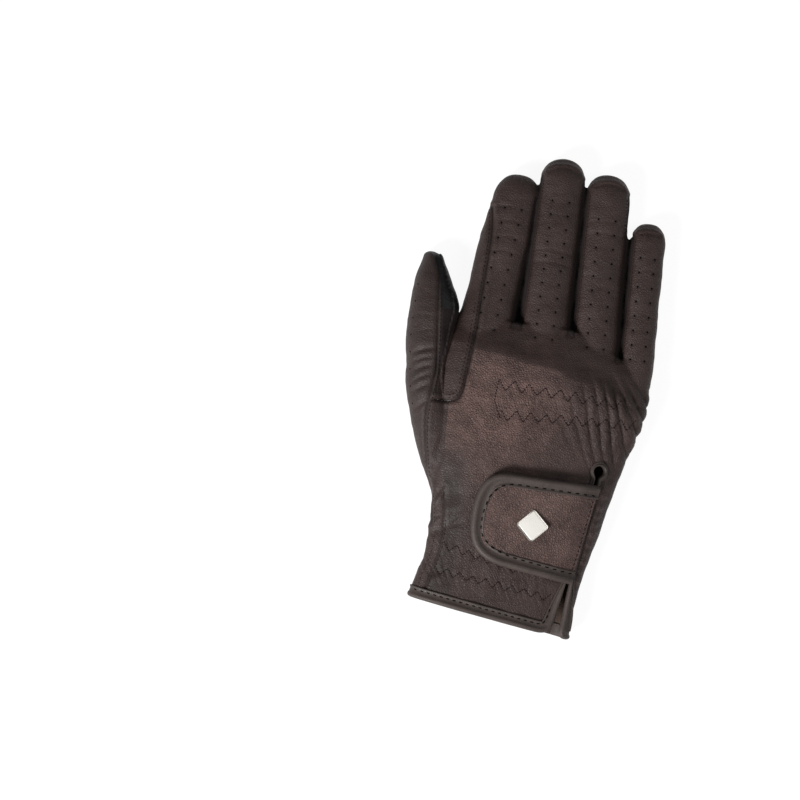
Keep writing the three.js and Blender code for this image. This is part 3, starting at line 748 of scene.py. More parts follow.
def leather_look(name, dark, lit, grain=1.0, rough=0.5, sheen=0.35, pebble=0.95):
    """Leather in colours from dark to lit, with pebbles of a size in millimetres. It is darker and duller where it
    is worn at its seams and where it is painted in shade between the fingers, and it is painted darker as shade,
    with a smoother grain, by its second attribute."""
    look = Look(name, Specular_IOR_Level=sheen, Coat_Weight=0.0)
    swirl = look.node("ShaderNodeTexNoise", {}, {"Vector": look.place, "Scale": 700.0, "Detail": 2.0},
                      output="Color")
    warp = look.node("ShaderNodeVectorMath", {"operation": "MULTIPLY_ADD"}, {
        0: swirl, 1: (0.6 * MM,) * 3, 2: look.place})
    cells = look.node("ShaderNodeTexVoronoi", {"feature": "DISTANCE_TO_EDGE"}, {
        "Vector": warp, "Scale": 1 / (pebble * MM)}, output="Distance")
    pebbles = look.spread(cells, 0.0, 0.32)
    fine = look.noise(0.35, 3.0, 0.6)
    patches = look.spread(look.noise(14, 4.0, 0.6), 0.3, 0.7)
    mottle = look.spread(look.noise(2.2, 3.0), 0.3, 0.7)
    shade = 0.55 * patches + 0.25 * mottle + 0.2 * pebbles
    wear_and_painted_shade = look.node("ShaderNodeAttribute", {"attribute_name": "wear_and_painted_shade"}, output="Fac")
    painted_shade_and_smoothing = look.node("ShaderNodeAttribute", {"attribute_name": "painted_shade_and_smoothing"}, output="Fac")
    base = look.blend(shade, colour(*dark), colour(*lit))
    # Painted shade: the colour is darkened towards 0.69 of the dark tone as the second attribute rises.
    smoothed_with_painted_shade = look.blend(painted_shade_and_smoothing * 0.8, base, colour(*(c * 0.69 for c in dark)))
    # The worn colour is also the painted shade between the fingers and in the thumb's crotch.
    look.set("Base Color", look.blend(wear_and_painted_shade, smoothed_with_painted_shade, colour(*(c * 0.42 for c in dark))))
    look.set("Roughness", rough + 0.14 * (1 - pebbles) + 0.08 * mottle + 0.35 * wear_and_painted_shade)
    height = 0.8 * pebbles + 0.35 * fine + 0.5 * look.noise(3.5, 2.0)
    look.raise_by(height * (1 - 0.55 * painted_shade_and_smoothing) * (1 - 0.7 * wear_and_painted_shade), 0.16 * grain)
    return look.material


BROWN = leather_look("brown_leather", (52, 37, 33), (101, 79, 74), grain=2.1, rough=0.46, sheen=0.3, pebble=1.1)
BLACK = leather_look("black_leather", (8, 7, 10), (14, 13, 17), grain=0.5, rough=0.4, sheen=0.3)
TAPE = leather_look("binding_leather", (49, 41, 38), (64, 55, 51), grain=0.35, rough=0.46, sheen=0.3)
SUEDE = leather_look("leather_inside", (70, 58, 52), (88, 74, 66), grain=1.6, rough=0.85, sheen=0.1, pebble=0.5)
THREAD = Look("thread", Base_Color=colour(24, 12, 11), Roughness=0.8, Specular_IOR_Level=0.15).material
THREAD_BLACK = Look("thread_black", Base_Color=colour(7, 6, 6), Roughness=0.8, Specular_IOR_Level=0.1).material


# Back of the hand and fingers
# One piece of thin leather from the wrist to the four fingertips, pierced with two rows of air holes on each
# finger and slit at the wrist. It is sewn to the palm at the sides and to the strips between the fingers.
HIGH = 200


def drum_faces(count):
    """The faces of a solid between two rings of points."""
    sides = [(i, (i + 1) % count, count + (i + 1) % count, count + i) for i in range(count)]
    return [range(count)[::-1], range(count, 2 * count), *sides]


def prism(outline, low=-HIGH, high=HIGH, lean=0.0):
    """An upright solid on an outline, which may lean along X."""
    outline = np.asarray(outline, dtype=float)
    count = len(outline)
    levels = [np.column_stack([outline[:, 0] + lean * (level - 0.8 * THUMB_DEPTH), outline[:, 1],
                               np.full(count, level)]) for level in (low, high)]
    piece = new_mesh("prism", np.concatenate(levels), drum_faces(count))
    area = np.sum(outline[:, 0] * np.roll(outline[:, 1], -1) - np.roll(outline[:, 0], -1) * outline[:, 1])
    if area < 0:
        piece.data.flip_normals()
    return piece


def cut(piece, *tools, operation="DIFFERENCE"):
    """Cuts the tools out of a piece, and uses them up."""
    for tool in tools:
        apply(piece, "BOOLEAN", object=tool, operation=operation, solver="MANIFOLD")
        bpy.data.objects.remove(tool)


def trim(piece, tool):
    """Keeps what lies inside the tool."""
    cut(piece, tool, operation="INTERSECT")


def copy_of(piece, name):
    twin = piece.copy()
    twin.data = piece.data.copy()
    twin.name = name
    bpy.context.collection.objects.link(twin)
    return twin


def largest(piece):
    """Keeps a piece's largest body, because cuts leave crumbs where two seams run close."""
    pick(piece)
    bpy.ops.object.mode_set(mode="EDIT")
    bpy.ops.mesh.select_all(action="SELECT")
    bpy.ops.mesh.separate(type="LOOSE")
    bpy.ops.object.mode_set(mode="OBJECT")
    bodies = sorted(bpy.context.selected_objects, key=lambda body: len(body.data.polygons))
    name = piece.name
    for body in bodies[:-1]:
        bpy.data.objects.remove(body)
    bodies[-1].name = name
    return bodies[-1]


def seam_wear(points):
    """How dark the leather is in its seams, from 0 to 1."""
    lines = [fourchette_outline(FINGERS[a], FINGERS[b]) for a, b in pairs] + [side_panel_outline()[2:]]
    sharp = np.minimum.reduce([distance_to(line, points[:, :2]) for line in lines])
    stitched = np.minimum.reduce([distance_to(row, points[:, :2]) for row in zigzag_rows])
    faint = np.minimum(distance_to(thumb_seam(), points[:, :2]), distance_to(side_seam()[15:], points[:, :2]))
    palm = distance_to(thenar_outline()[1:-2], points[:, :2])
    upper = points[:, 2] > 5
    for px, py in [place for finger in FINGERS.values() for place in hole_places(finger)]:
        faint = np.minimum(faint, 0.45 * np.hypot(points[:, 0] - px, points[:, 1] - py))
    dark = np.maximum.reduce([0.9 * bump(sharp, 0.5), 0.5 * bump(faint, 0.45), 0.15 * bump(stitched, 0.5)])
    return np.where(upper, dark, 0.6 * bump(palm, 0.7))


def finish_piece(piece, node, look=BROWN, seamed=1.0, shade=0.0, smoothed_with_painted_shade=(0.5, 0.5)):
    """Gives a piece its look and its place in the frame. Shade is painted shade on its top between the fingers.
    The last setting is how much painted shade and smoother grain it gets on the glove's underside and on top, or
    None for the back, which is painted in shade and smoother beyond the knuckles."""
    piece = largest(piece)
    if not piece.data.materials:
        piece.data.materials.append(look)
    piece.data.materials[0] = look
    places = points_of(piece)
    # Painted shade: a piece's top is darkened as far as its shade setting says, between the fingers and in the
    # thumb's crotch.
    painted_gap_shade = shade * step((places[:, 2] - 4) / 3) * step((places[:, 1] - 9) / 4)
    wear_and_painted_shade = piece.data.attributes.new("wear_and_painted_shade", "FLOAT", "POINT")
    wear_and_painted_shade.data.foreach_set("value", np.maximum(seam_wear(places) * seamed, painted_gap_shade).astype(np.float32))
    px, py, pz = places.T
    # Painted shade on the back's top: it is darkened beyond the knuckle line and away from an unshaded area of
    # full grain left of the middle, and the same value smooths its grain.
    beyond_knuckles = step((py - knuckle_line(px) + 1.2) / 2.4)
    grained_and_unshaded = np.clip(1.3 * np.exp(-(((px + 18) / 32) ** 2) - ((py - 12) / 30) ** 2), 0, 1)
    smooth = np.maximum(beyond_knuckles, 1 - grained_and_unshaded) * step((pz - 6) / 2)
    # Painted shade: more of it on the back's thumb side towards the wrist.
    smooth += 0.4 * step((-24 - px) / 8) * step((-8 - py) / 14)
    # Other pieces get one level of painted shade and smoothing on the underside and one on top.
    if smoothed_with_painted_shade is not None:
        smooth = smoothed_with_painted_shade[0] + (smoothed_with_painted_shade[1] - smoothed_with_painted_shade[0]) * step((pz - 5) / 3)
    painted_shade_and_smoothing = piece.data.attributes.new("painted_shade_and_smoothing", "FLOAT", "POINT")
    painted_shade_and_smoothing.data.foreach_set("value", np.broadcast_to(smooth, len(places)).astype(np.float32))
    pick(piece)
    bpy.ops.object.shade_smooth_by_angle(angle=math.radians(50))
    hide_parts(node)
    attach(piece, "root")
    return piece


RAY_START = 100


def tree_of(piece, places):
    """A tree that finds where rays meet a piece."""
    return BVHTree.FromPolygons([tuple(p) for p in places], [tuple(f.vertices) for f in piece.data.polygons])


skin_tree = tree_of(outside, points)
skin = outside
for form in (outside, inside):
    form.data.materials.append(BROWN)
    form.data.materials.append(SUEDE)
inside.data.polygons.foreach_set("material_index", np.ones(len(inside.data.polygons), dtype=np.int32))
cut(skin, inside)
hem = [(-FAR, hem_y(-FAR) + FOLDED_TAPE), (FAR, hem_y(FAR) + FOLDED_TAPE), (FAR, FAR + 100), (-FAR, FAR + 100)]
trim(skin, prism(hem))

SLIT_TOP_X, SLIT_FOOT_X, SLIT_TOP, SLIT_WIDTH, SLIT_MOUTH, KEYHOLE = 35, 25.6, -15, 0.4, 3.6, 2.3
SLIT_TAPE = 0.8


def slit_x(y):
    """The slit's middle line, which bends towards the thumb on its way to the hem."""
    share = np.clip((SLIT_TOP - np.asarray(y)) / (WRIST_REACH + SLIT_TOP), 0, 1) ** 0.85
    return SLIT_TOP_X + (SLIT_FOOT_X - SLIT_TOP_X) * share


def slit_half(y):
    """Half the slit's width, which opens towards the hem."""
    share = (SLIT_TOP - np.asarray(y)) / (WRIST_REACH + SLIT_TOP)
    return (SLIT_WIDTH + (SLIT_MOUTH - SLIT_WIDTH) * step((share - 0.6) / 0.4)) / 2


def slit_outline(spare):
    y = np.linspace(SLIT_TOP, -WRIST_REACH - 10, 50)
    left = np.stack([slit_x(y) - slit_half(y) - spare, y], axis=1)
    right = np.stack([slit_x(y) + slit_half(y) + spare, y], axis=1)
    return np.concatenate([left, right[::-1]])


def circle(x, y, radius, sides=32):
    angle = 2 * np.pi * np.arange(sides) / sides
    return np.stack([x + radius * np.cos(angle), y + radius * np.sin(angle)], axis=1)


back = copy_of(skin, "back_panel")
trim(back, prism(back_outline(), SEAM_HEIGHT + SEAM_GAP, HIGH))
for left, right in pairs:
    cut(back, prism(fourchette_outline(FINGERS[left], FINGERS[right], SEAM_GAP)))
cut(back, prism(side_panel_outline(SEAM_GAP)), prism(thumb_outline(SEAM_GAP), lean=THUMB_LEAN))
cut(back, prism(slit_outline(SLIT_TAPE), SEAM_HEIGHT),
    prism(circle(SLIT_TOP_X, SLIT_TOP, KEYHOLE + SLIT_TAPE), SEAM_HEIGHT))
holes = [prism(circle(px, py, AIR_HOLE / 2, HOLE_SIDES), SEAM_HEIGHT)
         for finger in FINGERS.values() for px, py in hole_places(finger)]
pick(*holes)
bpy.ops.object.join()
cut(back, bpy.context.object)
back = finish_piece(back, "back_panel", smoothed_with_painted_shade=None)


# Palm and fingertips
# The palm and the undersides of the four fingers are one piece of the same leather, turned up over the fingertips
# and sewn to the back's edge. Under the index fingertip a smooth black patch for touch screens is sewn in.
palm = copy_of(skin, "palm_panel")
cut(palm, prism(back_outline(SEAM_GAP), SEAM_HEIGHT, HIGH))
for left, right in pairs:
    cut(palm, prism(fourchette_outline(FINGERS[left], FINGERS[right], SEAM_GAP)))
cut(palm, prism(side_panel_outline(SEAM_GAP)), prism(thumb_outline(SEAM_GAP), lean=THUMB_LEAN))
cut(palm, prism(slot_outline(SEAM_GAP)), prism(thenar_outline(SEAM_GAP)))
PATCH_LENGTH = 27
index_patch_y = finger_y(index, 1) - PATCH_LENGTH
patch_y = np.array([index_patch_y - 2, finger_y(index, 1)])
patch_x = np.mean(edges_between(index, FINGERS["middle"], patch_y), axis=0)


def index_patch_outline(spare=0.0):
    """All that lies on the index finger's side of the middle finger, near its tip."""
    return [(-FAR, index_patch_y - spare), (patch_x[0] + spare, index_patch_y - spare),
            (patch_x[1] + spare, patch_y[1]), (patch_x[1] + spare, FAR), (-FAR, FAR)]


tip_patch = copy_of(palm, "index_tip_patch")
trim(tip_patch, prism(index_patch_outline()))
cut(palm, prism(index_patch_outline(SEAM_GAP)))
# Painted shade: the palm piece is darker where it wraps onto the top than underneath.
palm = finish_piece(palm, "palm_panel", smoothed_with_painted_shade=(0.35, 1.05))
tip_patch = finish_piece(tip_patch, "index_tip_patch", BLACK)

# Index finger's side panel
# A long strip of the brown leather covers the index finger's side and ends in a round tongue on the back of the
# hand. It lies over the back's edge and is sewn down close to its own.
side_panel = copy_of(skin, "index_side_panel")
trim(side_panel, prism(side_panel_outline()))
cut(side_panel, prism(slot_outline(SEAM_GAP)), prism(thumb_outline(SEAM_GAP), lean=THUMB_LEAN))
# Painted shade: the side panel is darker on top than underneath.
side_panel = finish_piece(side_panel, "index_side_panel", smoothed_with_painted_shade=(0.6, 1.05))

# Strips between the fingers
# Three narrow strips of the brown leather join the back to the palm between the fingers, folded at the crotch.
# Little light falls between the fingers, and their leather is painted darker there as shade.
for left, right in pairs:
    strip = copy_of(skin, f"fourchette_{left}_{right}")
    trim(strip, prism(fourchette_outline(FINGERS[left], FINGERS[right])))
    finish_piece(strip, f"fourchette_{left}_{right}", shade=0.95)

# Thumb
# Two pieces of the brown leather: the outer one is pierced with a row of air holes, and the inner one runs on into
# an oval let into the palm. The tip's inner half is a black patch like the index finger's.
THUMB_HOLES, THUMB_HOLE_TOP, THUMB_HOLE_FOOT = 8, 61.9, 4.8
thumb_back = copy_of(skin, "thumb_back")
trim(thumb_back, prism(thumb_outline(), lean=THUMB_LEAN))
for pierced_y in np.linspace(THUMB_HOLE_TOP, THUMB_HOLE_FOOT, THUMB_HOLES):
    above = Vector((thumb_edge(pierced_y, -1, 0.8), pierced_y, RAY_START))
    place, facing, _, _ = skin_tree.ray_cast(above, Vector((0, 0, -1)))
    aside = facing.orthogonal().normalized()
    ahead = facing.cross(aside)
    turn = 2 * np.pi * np.arange(HOLE_SIDES) / HOLE_SIDES
    circle_points = AIR_HOLE / 2 * (np.outer(np.cos(turn), aside) + np.outer(np.sin(turn), ahead))
    ends = [np.array(place) + circle_points + step_out * np.array(facing) for step_out in (-2.5, 2.5)]
    cut(thumb_back, new_mesh("peg", np.concatenate(ends), drum_faces(HOLE_SIDES)))
# Painted shade: the outer thumb piece is darkened all over.
thumb_back = finish_piece(thumb_back, "thumb_back", smoothed_with_painted_shade=(1.15, 1.15))
thumb_front = copy_of(skin, "thumb_palm")
region = prism(thenar_outline())
cut(region, prism(back_outline(SEAM_GAP), SEAM_HEIGHT, HIGH))
cut(region, prism(slot_outline()), operation="UNION")
trim(thumb_front, region)
cut(thumb_front, prism(thumb_outline(SEAM_GAP), lean=THUMB_LEAN))
side_hole = prism(side_panel_outline(SEAM_GAP))
cut(side_hole, prism(slot_outline()))
cut(thumb_front, side_hole)
thumb_patch_y = THUMB_REACH - PATCH_LENGTH


def thumb_patch_outline(spare=0.0):
    return [(-FAR, thumb_patch_y - spare), (FAR, thumb_patch_y - spare), (FAR, FAR), (-FAR, FAR)]


thumb_patch = copy_of(thumb_front, "thumb_tip_patch")
trim(thumb_patch, prism(thumb_patch_outline()))
cut(thumb_front, prism(thumb_patch_outline(SEAM_GAP)))
# Painted shade: the inner thumb piece is darkened on its top in the crotch beside the hand.
finish_piece(thumb_front, "thumb_palm", shade=0.85, smoothed_with_painted_shade=(0.35, 1.1))
finish_piece(thumb_patch, "thumb_tip_patch", BLACK)
bpy.data.objects.remove(skin)


# Edge binding
# One smooth leather tape, folded over the edge of the hem, both edges of the slit and round the keyhole, and sewn
# down with a row of long stitches. It is wide on the hem and a thin roll along the slit.
HEM_TAPE, SLIT_TAPE_WIDTH = 4.9, 1.2
CORNER, CORNER_RIGHT = 7.0, 1.6
mouth = float(hem_y(SLIT_FOOT_X)) + FOLDED_TAPE - 0.5


def hem_ring(angle, grow=0.0):
    """Points of the hem at angles round the wrist."""
    across, upright = (np.sign(f) * np.abs(f) ** (2 / HAND_SQUARE) for f in (np.cos(angle), np.sin(angle)))
    px = np.zeros(len(angle))
    for _ in range(4):
        py = hem_y(px) + FOLDED_TAPE - 0.4
        left, right, share, lift = (column(HAND, key, hand_along(py), HAND_BLUR)
                                    for key in ("left", "right", "depth", "lift"))
        px = (left + right) / 2 * HAND_WIDTH + ((right - left) / 2 * HAND_WIDTH + grow) * across
    depth = share * HAND_DEPTH
    pz = HAND_MIDDLE * depth + np.where(upright > 0, HAND_ABOVE, HAND_BELOW) * depth * upright
    return np.stack([px, py, np.maximum(pz, lift * FOLDED_TAPE)], axis=1)


def even(path, spacing, closed=False):
    """The same path with evenly spaced points."""
    path = np.concatenate([path, path[:1]]) if closed else path
    lengths = np.concatenate([[0], np.cumsum(np.linalg.norm(np.diff(path, axis=0), axis=1))])
    count = max(2, round(lengths[-1] / spacing))
    at = np.linspace(0, lengths[-1], count + 1)[: count if closed else count + 1]
    return np.stack([np.interp(at, lengths, path[:, k]) for k in range(path.shape[1])], axis=1)


def rounded(values, rounds, closed):
    """Evens out the values along a path."""
    for _ in range(rounds):
        before, after = np.roll(values, 1, axis=0), np.roll(values, -1, axis=0)
        if not closed:
            before[0], after[-1] = values[0], values[-1]
        values = (before + 2 * values + after) / 4
    return values


def unit(vectors):
    return vectors / np.linalg.norm(vectors, axis=1)[:, None]


def squared_to(vectors, along):
    """The vectors turned to stand at right angles to others, with a length of 1."""
    return unit(vectors - along * np.sum(vectors * along, axis=1)[:, None])


def lay_on(tree, xy, from_above=True):
    """Heights and normals of a surface at places seen from above, or from below."""
    side = 1 if from_above else -1
    found, facing = [], []
    for px, py in xy:
        place, normal, _, _ = tree.ray_cast(Vector((px, py, RAY_START * side)), Vector((0, 0, -side)))
        found.append(place if place else (px, py, found[-1][2] if found else 10))
        facing.append(normal if place else (0, 0, side))
    return np.array(found), np.array(facing)


def sweep(name, path, inward, outward, profile, closed):
    """A strip of one section, given in steps inward along the leather and outward from it, along a path."""
    count, sides = len(path), len(profile[0])
    rings = [path[i] + np.outer(profile[i][:, 0], inward[i]) + np.outer(profile[i][:, 1], outward[i])
             for i in range(count)]
    faces = []
    for r in range(count if closed else count - 1):
        after = (r + 1) % count
        for i in range(sides):
            j = (i + 1) % sides
            faces.append((r * sides + i, r * sides + j, after * sides + j, after * sides + i))
    if not closed:
        faces += [tuple(range(sides))[::-1], tuple(range((count - 1) * sides, count * sides))]
    piece = new_mesh(name, np.concatenate(rings), faces)
    pick(piece)
    bpy.ops.object.mode_set(mode="EDIT")
    bpy.ops.mesh.select_all(action="SELECT")
    bpy.ops.mesh.normals_make_consistent(inside=False)
    bpy.ops.object.mode_set(mode="OBJECT")
    bpy.ops.object.shade_smooth_by_angle(angle=math.radians(60))
    return piece


def fold_section(width, roll, wall=LEATHER, tape=0.5):
    """The section of a tape folded over an edge: a full roll at the edge, a sunk sewing line and a thin lip."""
    channel = roll + 0.5 * (width - roll)
    up = 0.2
    outer = [(width, up), (width, up + 0.8 * tape), (width - 0.25, up + 1.15 * tape),
             (width - 0.6, up + 1.1 * tape), (channel + 0.5, up + 0.85 * tape), (channel, up + 0.5 * tape),
             (channel - 0.6, up + 0.8 * tape), (1.0 * roll, up + 1.1 * tape),
             (0.8 * roll, up + 1.7 * tape), (0.5 * roll, up + 2.2 * tape), (0.1 * roll, up + 2.1 * tape),
             (-0.25 * roll, up + 1.2 * tape), (-0.45 * roll, up - 0.2),
             (-0.5 * roll, -0.5 * wall), (-0.42 * roll, -wall), (-0.15 * roll, -wall - 0.8 * tape),
             (0.3 * roll, -wall - 1.2 * tape), (width, -wall - 1.1 * tape), (width, -wall - 0.25)]
    return np.array(outer + [(0.1, -wall - 0.25), (-0.05, -0.5 * wall), (0.1, up)])


sweep_angles = np.linspace(0, 2 * np.pi, 2400)
hem_points = hem_ring(sweep_angles)
slit_left = float(slit_x(mouth) - slit_half(mouth) - SLIT_TAPE)
slit_right = float(slit_x(mouth) + slit_half(mouth) + SLIT_TAPE)
over = sweep_angles < np.pi
round_hand = np.concatenate([
    hem_points[over & (hem_points[:, 0] < slit_left - CORNER)],
    hem_points[~over],
    hem_points[over & (hem_points[:, 0] > slit_right + CORNER_RIGHT)],
])
slit_y = np.linspace(float(hem_y(slit_left)) + CORNER, SLIT_TOP - 2.8, 60)
right_y = np.linspace(float(hem_y(slit_right)) + CORNER_RIGHT + 1, SLIT_TOP - 2.8, 60)
keyhole_turn = np.radians(np.linspace(-62, 242, 40))
CORNER_RISE = 0.8
on_top = np.concatenate([
    curve((slit_right + CORNER_RIGHT, hem_y(slit_right + CORNER_RIGHT) + CORNER_RISE),
          (slit_right, hem_y(slit_right) + CORNER_RISE), (slit_right, right_y[0])),
    np.stack([slit_x(right_y) + slit_half(right_y) + SLIT_TAPE, right_y], axis=1),
    np.stack([SLIT_TOP_X + (KEYHOLE + SLIT_TAPE) * np.cos(keyhole_turn),
              SLIT_TOP + (KEYHOLE + SLIT_TAPE) * np.sin(keyhole_turn)], axis=1),
    np.stack([slit_x(slit_y) - slit_half(slit_y) - SLIT_TAPE, slit_y], axis=1)[::-1],
    curve((slit_left, slit_y[0]), (slit_left, hem_y(slit_left) + CORNER_RISE),
          (slit_left - CORNER, hem_y(slit_left - CORNER) + CORNER_RISE)),
])
on_top, _ = lay_on(skin_tree, on_top)
edge = rounded(even(np.concatenate([round_hand, on_top]), 0.9, closed=True), 3, closed=True)
facing = np.array([skin_tree.find_nearest(Vector(p))[1] for p in edge])
tangent = np.roll(edge, -1, axis=0) - np.roll(edge, 1, axis=0)
tangent = rounded(unit(tangent), 2, closed=True)
facing = squared_to(rounded(facing, 14, closed=True), tangent)
inward = unit(np.cross(tangent, facing))
on_slit = (edge[:, 0] > slit_left - CORNER + 1) & (edge[:, 2] > 8) & (edge[:, 1] > mouth + 1)
narrow = rounded(on_slit * step((edge[:, 1] - mouth - 3) / 32), 8, closed=True)
sections = [fold_section(HEM_TAPE + (SLIT_TAPE_WIDTH - HEM_TAPE) * n, 1.8 - 0.9 * n) for n in narrow]
binding = sweep("edge_binding", edge, inward, facing, sections, closed=True)
binding_points = points_of(binding)
binding_points[:, 2] = np.maximum(binding_points[:, 2], 0)
move_points(binding, binding_points)
binding.data.materials.append(TAPE)
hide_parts("edge_binding")
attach(binding, "root")


# Closing tab
# A double leather tab, sewn down on the little finger's side of the slit and pressed shut over it. It stands clear
# of the back on its hidden fastener, and its free edges are bound with the same tape.
TAB_LEFT, TAB_WIDTH, TAB_RISE, TAB_CORNER, TAB_LEATHER, TAB_LOW = -22.2, 47.6, 4.5, 14, 1.4, 3.0
TAB_TOP = SLIT_TOP - 6.6
TAB_TAPE = {"width": 5.4, "roll": 2.4, "tape": 0.6, "inset": 0.9}


def tab_sewn_x(y):
    """The tab's sewn edge, which follows the slit."""
    share = (TAB_TOP - np.asarray(y)) / TAB_WIDTH
    return 36.2 - 5.2 * share - 1.6 * share**2


def tab_outline(inset):
    """The tab's free edge, from its sewn edge at the top round its end to its sewn edge at the foot."""
    top_y, foot_y = TAB_TOP - inset, TAB_TOP - TAB_WIDTH + inset
    left = TAB_LEFT + inset
    return np.concatenate([
        curve((tab_sewn_x(top_y), top_y - 0.4), (left + TAB_CORNER, top_y), steps=20),
        curve((left + TAB_CORNER, top_y), (left + 3, top_y - 0.5), (left, top_y - 9), (left, top_y - 22))[1:],
        curve((left, top_y - 22), (left, foot_y + TAB_RISE + 7), (left + 4, foot_y + TAB_RISE + 1.5),
              (left + TAB_CORNER + 2, foot_y + 0.75 * TAB_RISE))[1:],
        curve((left + TAB_CORNER + 2, foot_y + 0.75 * TAB_RISE), (tab_sewn_x(foot_y), foot_y - 1.2), steps=20)[1:],
    ])


def hand_top(px, py, grow):
    """The height of the back of the hand, grown by a distance."""
    left, right, share = (column(HAND, key, hand_along(py), HAND_BLUR) for key in ("left", "right", "depth"))
    across = np.abs(px - (left + right) / 2 * HAND_WIDTH) / ((right - left) / 2 * HAND_WIDTH + grow)
    round_off = (1 - across.clip(0, 1) ** HAND_SQUARE) ** (1 / HAND_SQUARE)
    return HAND_DEPTH * share * HAND_MIDDLE + (HAND_ABOVE * share * HAND_DEPTH + grow) * round_off


def settle(px, py):
    """How far the tab lies below its plain layer: pressed down at its sewn edge and a little at its end."""
    sewn = step(1 - (tab_sewn_x(py) - px) / 9)
    end = step(1 - (px + 22) / 14)
    return 2.3 * sewn + 0.7 * end - 0.25 * np.sin(px / 11 + py / 17)


def layer(name, low, thickness, outline):
    """A sheet of leather over the back of the hand."""
    piece = loft(name, [hand_ring(along, low + thickness) for along in np.linspace(0.02, 0.7, 110)])
    cut(piece, loft("under", [hand_ring(along, low) for along in np.linspace(0, 0.72, 110)]))
    trim(piece, prism(outline, 10))
    return piece


tab = layer("closing_tab", TAB_LOW, TAB_LEATHER, tab_outline(0.6))
tab_points = points_of(tab)
tab_points[:, 2] -= settle(tab_points[:, 0], tab_points[:, 1])
move_points(tab, tab_points)
tab = finish_piece(tab, "closing_tab", seamed=0.0, smoothed_with_painted_shade=(0.3, 0.3))
rim = even(tab_outline(TAB_TAPE["inset"]), 0.9)
rim_height = hand_top(rim[:, 0], rim[:, 1], TAB_LOW + TAB_LEATHER) - settle(rim[:, 0], rim[:, 1])
rim = np.column_stack([rim, rim_height])
along_rim = rounded(unit(np.gradient(rim, axis=0)), 3, closed=False)
raised = squared_to(np.tile([0.0, 0.0, 1.0], (len(rim), 1)), along_rim)
tab_binding = sweep("tab_binding", rim, np.cross(raised, along_rim), raised,
                    [fold_section(TAB_TAPE["width"], TAB_TAPE["roll"], TAB_LEATHER, TAB_TAPE["tape"])] * len(rim),
                    closed=False)
tab_binding.data.materials.append(TAPE)
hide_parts("tab_binding")
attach(tab_binding, "root")


# Stitches
# Each seam is sewn with fine dark thread: short stitches along the fingers, long ones on the tape, and rows of
# zigzag that hold the hidden elastic.
STITCH_SINK = 0.25


def stitches(name, rows, tree, look, length, radius, from_above=True):
    """One mesh of small stitches along rows of places, laid on a surface."""
    turn = np.arange(6) * np.pi / 3
    ends = [(-0.5, 0.25), (-0.3, 0.9), (0.3, 0.9), (0.5, 0.25)]
    model = np.array([(at * length, reach * radius * np.cos(t), reach * radius * np.sin(t)) for at, reach in ends
                      for t in turn])
    sides = [(6 * r + i, 6 * r + (i + 1) % 6, 6 * r + 6 + (i + 1) % 6, 6 * r + 6 + i)
             for r in range(3) for i in range(6)]
    sides += [tuple(range(6))[::-1], tuple(range(18, 24))]
    points, faces = [], []
    for places, tangents in rows:
        laid, up = lay_on(tree, places, from_above)
        ahead = squared_to(np.column_stack([tangents, np.zeros(len(tangents))]), up)
        aside = np.cross(up, ahead)
        for spot, a, b, c in zip(laid, ahead, aside, up):
            steep = abs(c[2]) < 0.3
            if steep or (from_above and spot[2] < 7):
                continue
            faces += [tuple(len(points) * 24 + k for k in face) for face in sides]
            points.append(spot - c * STITCH_SINK * radius + model @ np.array([a, b, c]))
    piece = new_mesh(name, np.concatenate(points), faces)
    piece.data.materials.append(look)
    piece.data.shade_smooth()
    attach(piece, "root")
    return piece


def sewn(path, spacing):
    """Places and directions of stitches along a path."""
    path = even(np.asarray(path, dtype=float), spacing)
    return (path[:-1] + path[1:]) / 2, np.diff(path, axis=0)


def beside(path, offset):
    """A path moved sideways, to its left seen along it."""
    ahead = unit(np.gradient(path, axis=0))
    return path + offset * np.stack([-ahead[:, 1], ahead[:, 0]], axis=1)


def finger_rows(offset, spacing):
    """Stitches beside the seams on both sides of each strip between the fingers."""
    along, rows = np.linspace(0, 0.86, 40), []
    for finger, side in [(FINGERS[name], side) for pair in pairs for name, side in zip(pair, (1, -1))]:
        across = side * (finger_half(finger, along) - SEAM_INSET - offset)
        rows.append(sewn(np.stack([finger_x(finger, along) + across, finger_y(finger, along)], axis=1), spacing))
    return rows


strip_edge = side_panel_outline()[4:]
seams = [*finger_rows(0.8, 1.7),
         sewn(beside(strip_edge, 1.4), 2.0), sewn(beside(strip_edge[:24], 2.9), 2.0),
         sewn(beside(thumb_seam()[4:], 1.1), 2.0),
         sewn(side_seam()[19:32] + (1.0, 0), 2.2), sewn(side_seam()[21:32] - (3.6, 0), 2.4)]
FINE = {"length": 1.15, "radius": 0.26}
stitches("seam_stitches", seams, skin_tree, THREAD, **FINE)
stitches("zigzag_stitches", [sewn(row, 1.4) for row in zigzag_rows], skin_tree, THREAD, 1.05, 0.34)
thenar = thenar_outline()[1:-2]
palm_rows = [sewn(beside(thenar, 1.3), 2.1), sewn(beside(thenar, -1.3), 2.1),
             sewn(zigzag("palm_wrist", WRIST_PITCH, WRIST_HEIGHT), 1.45),
             sewn(zigzag("palm_cuff", WRIST_PITCH, WRIST_HEIGHT), 1.45)]
for offset in (-1.2, -2.8):
    palm_rows.append(sewn([(-32, index_patch_y + offset), (-13, index_patch_y + offset)], 2.1))
    palm_rows.append(sewn([(-56, thumb_patch_y + offset), (-45, thumb_patch_y + offset)], 2.1))
palm_rows += finger_rows(0.9, 1.9)
stitches("palm_stitches", palm_rows, skin_tree, THREAD, **FINE, from_above=False)

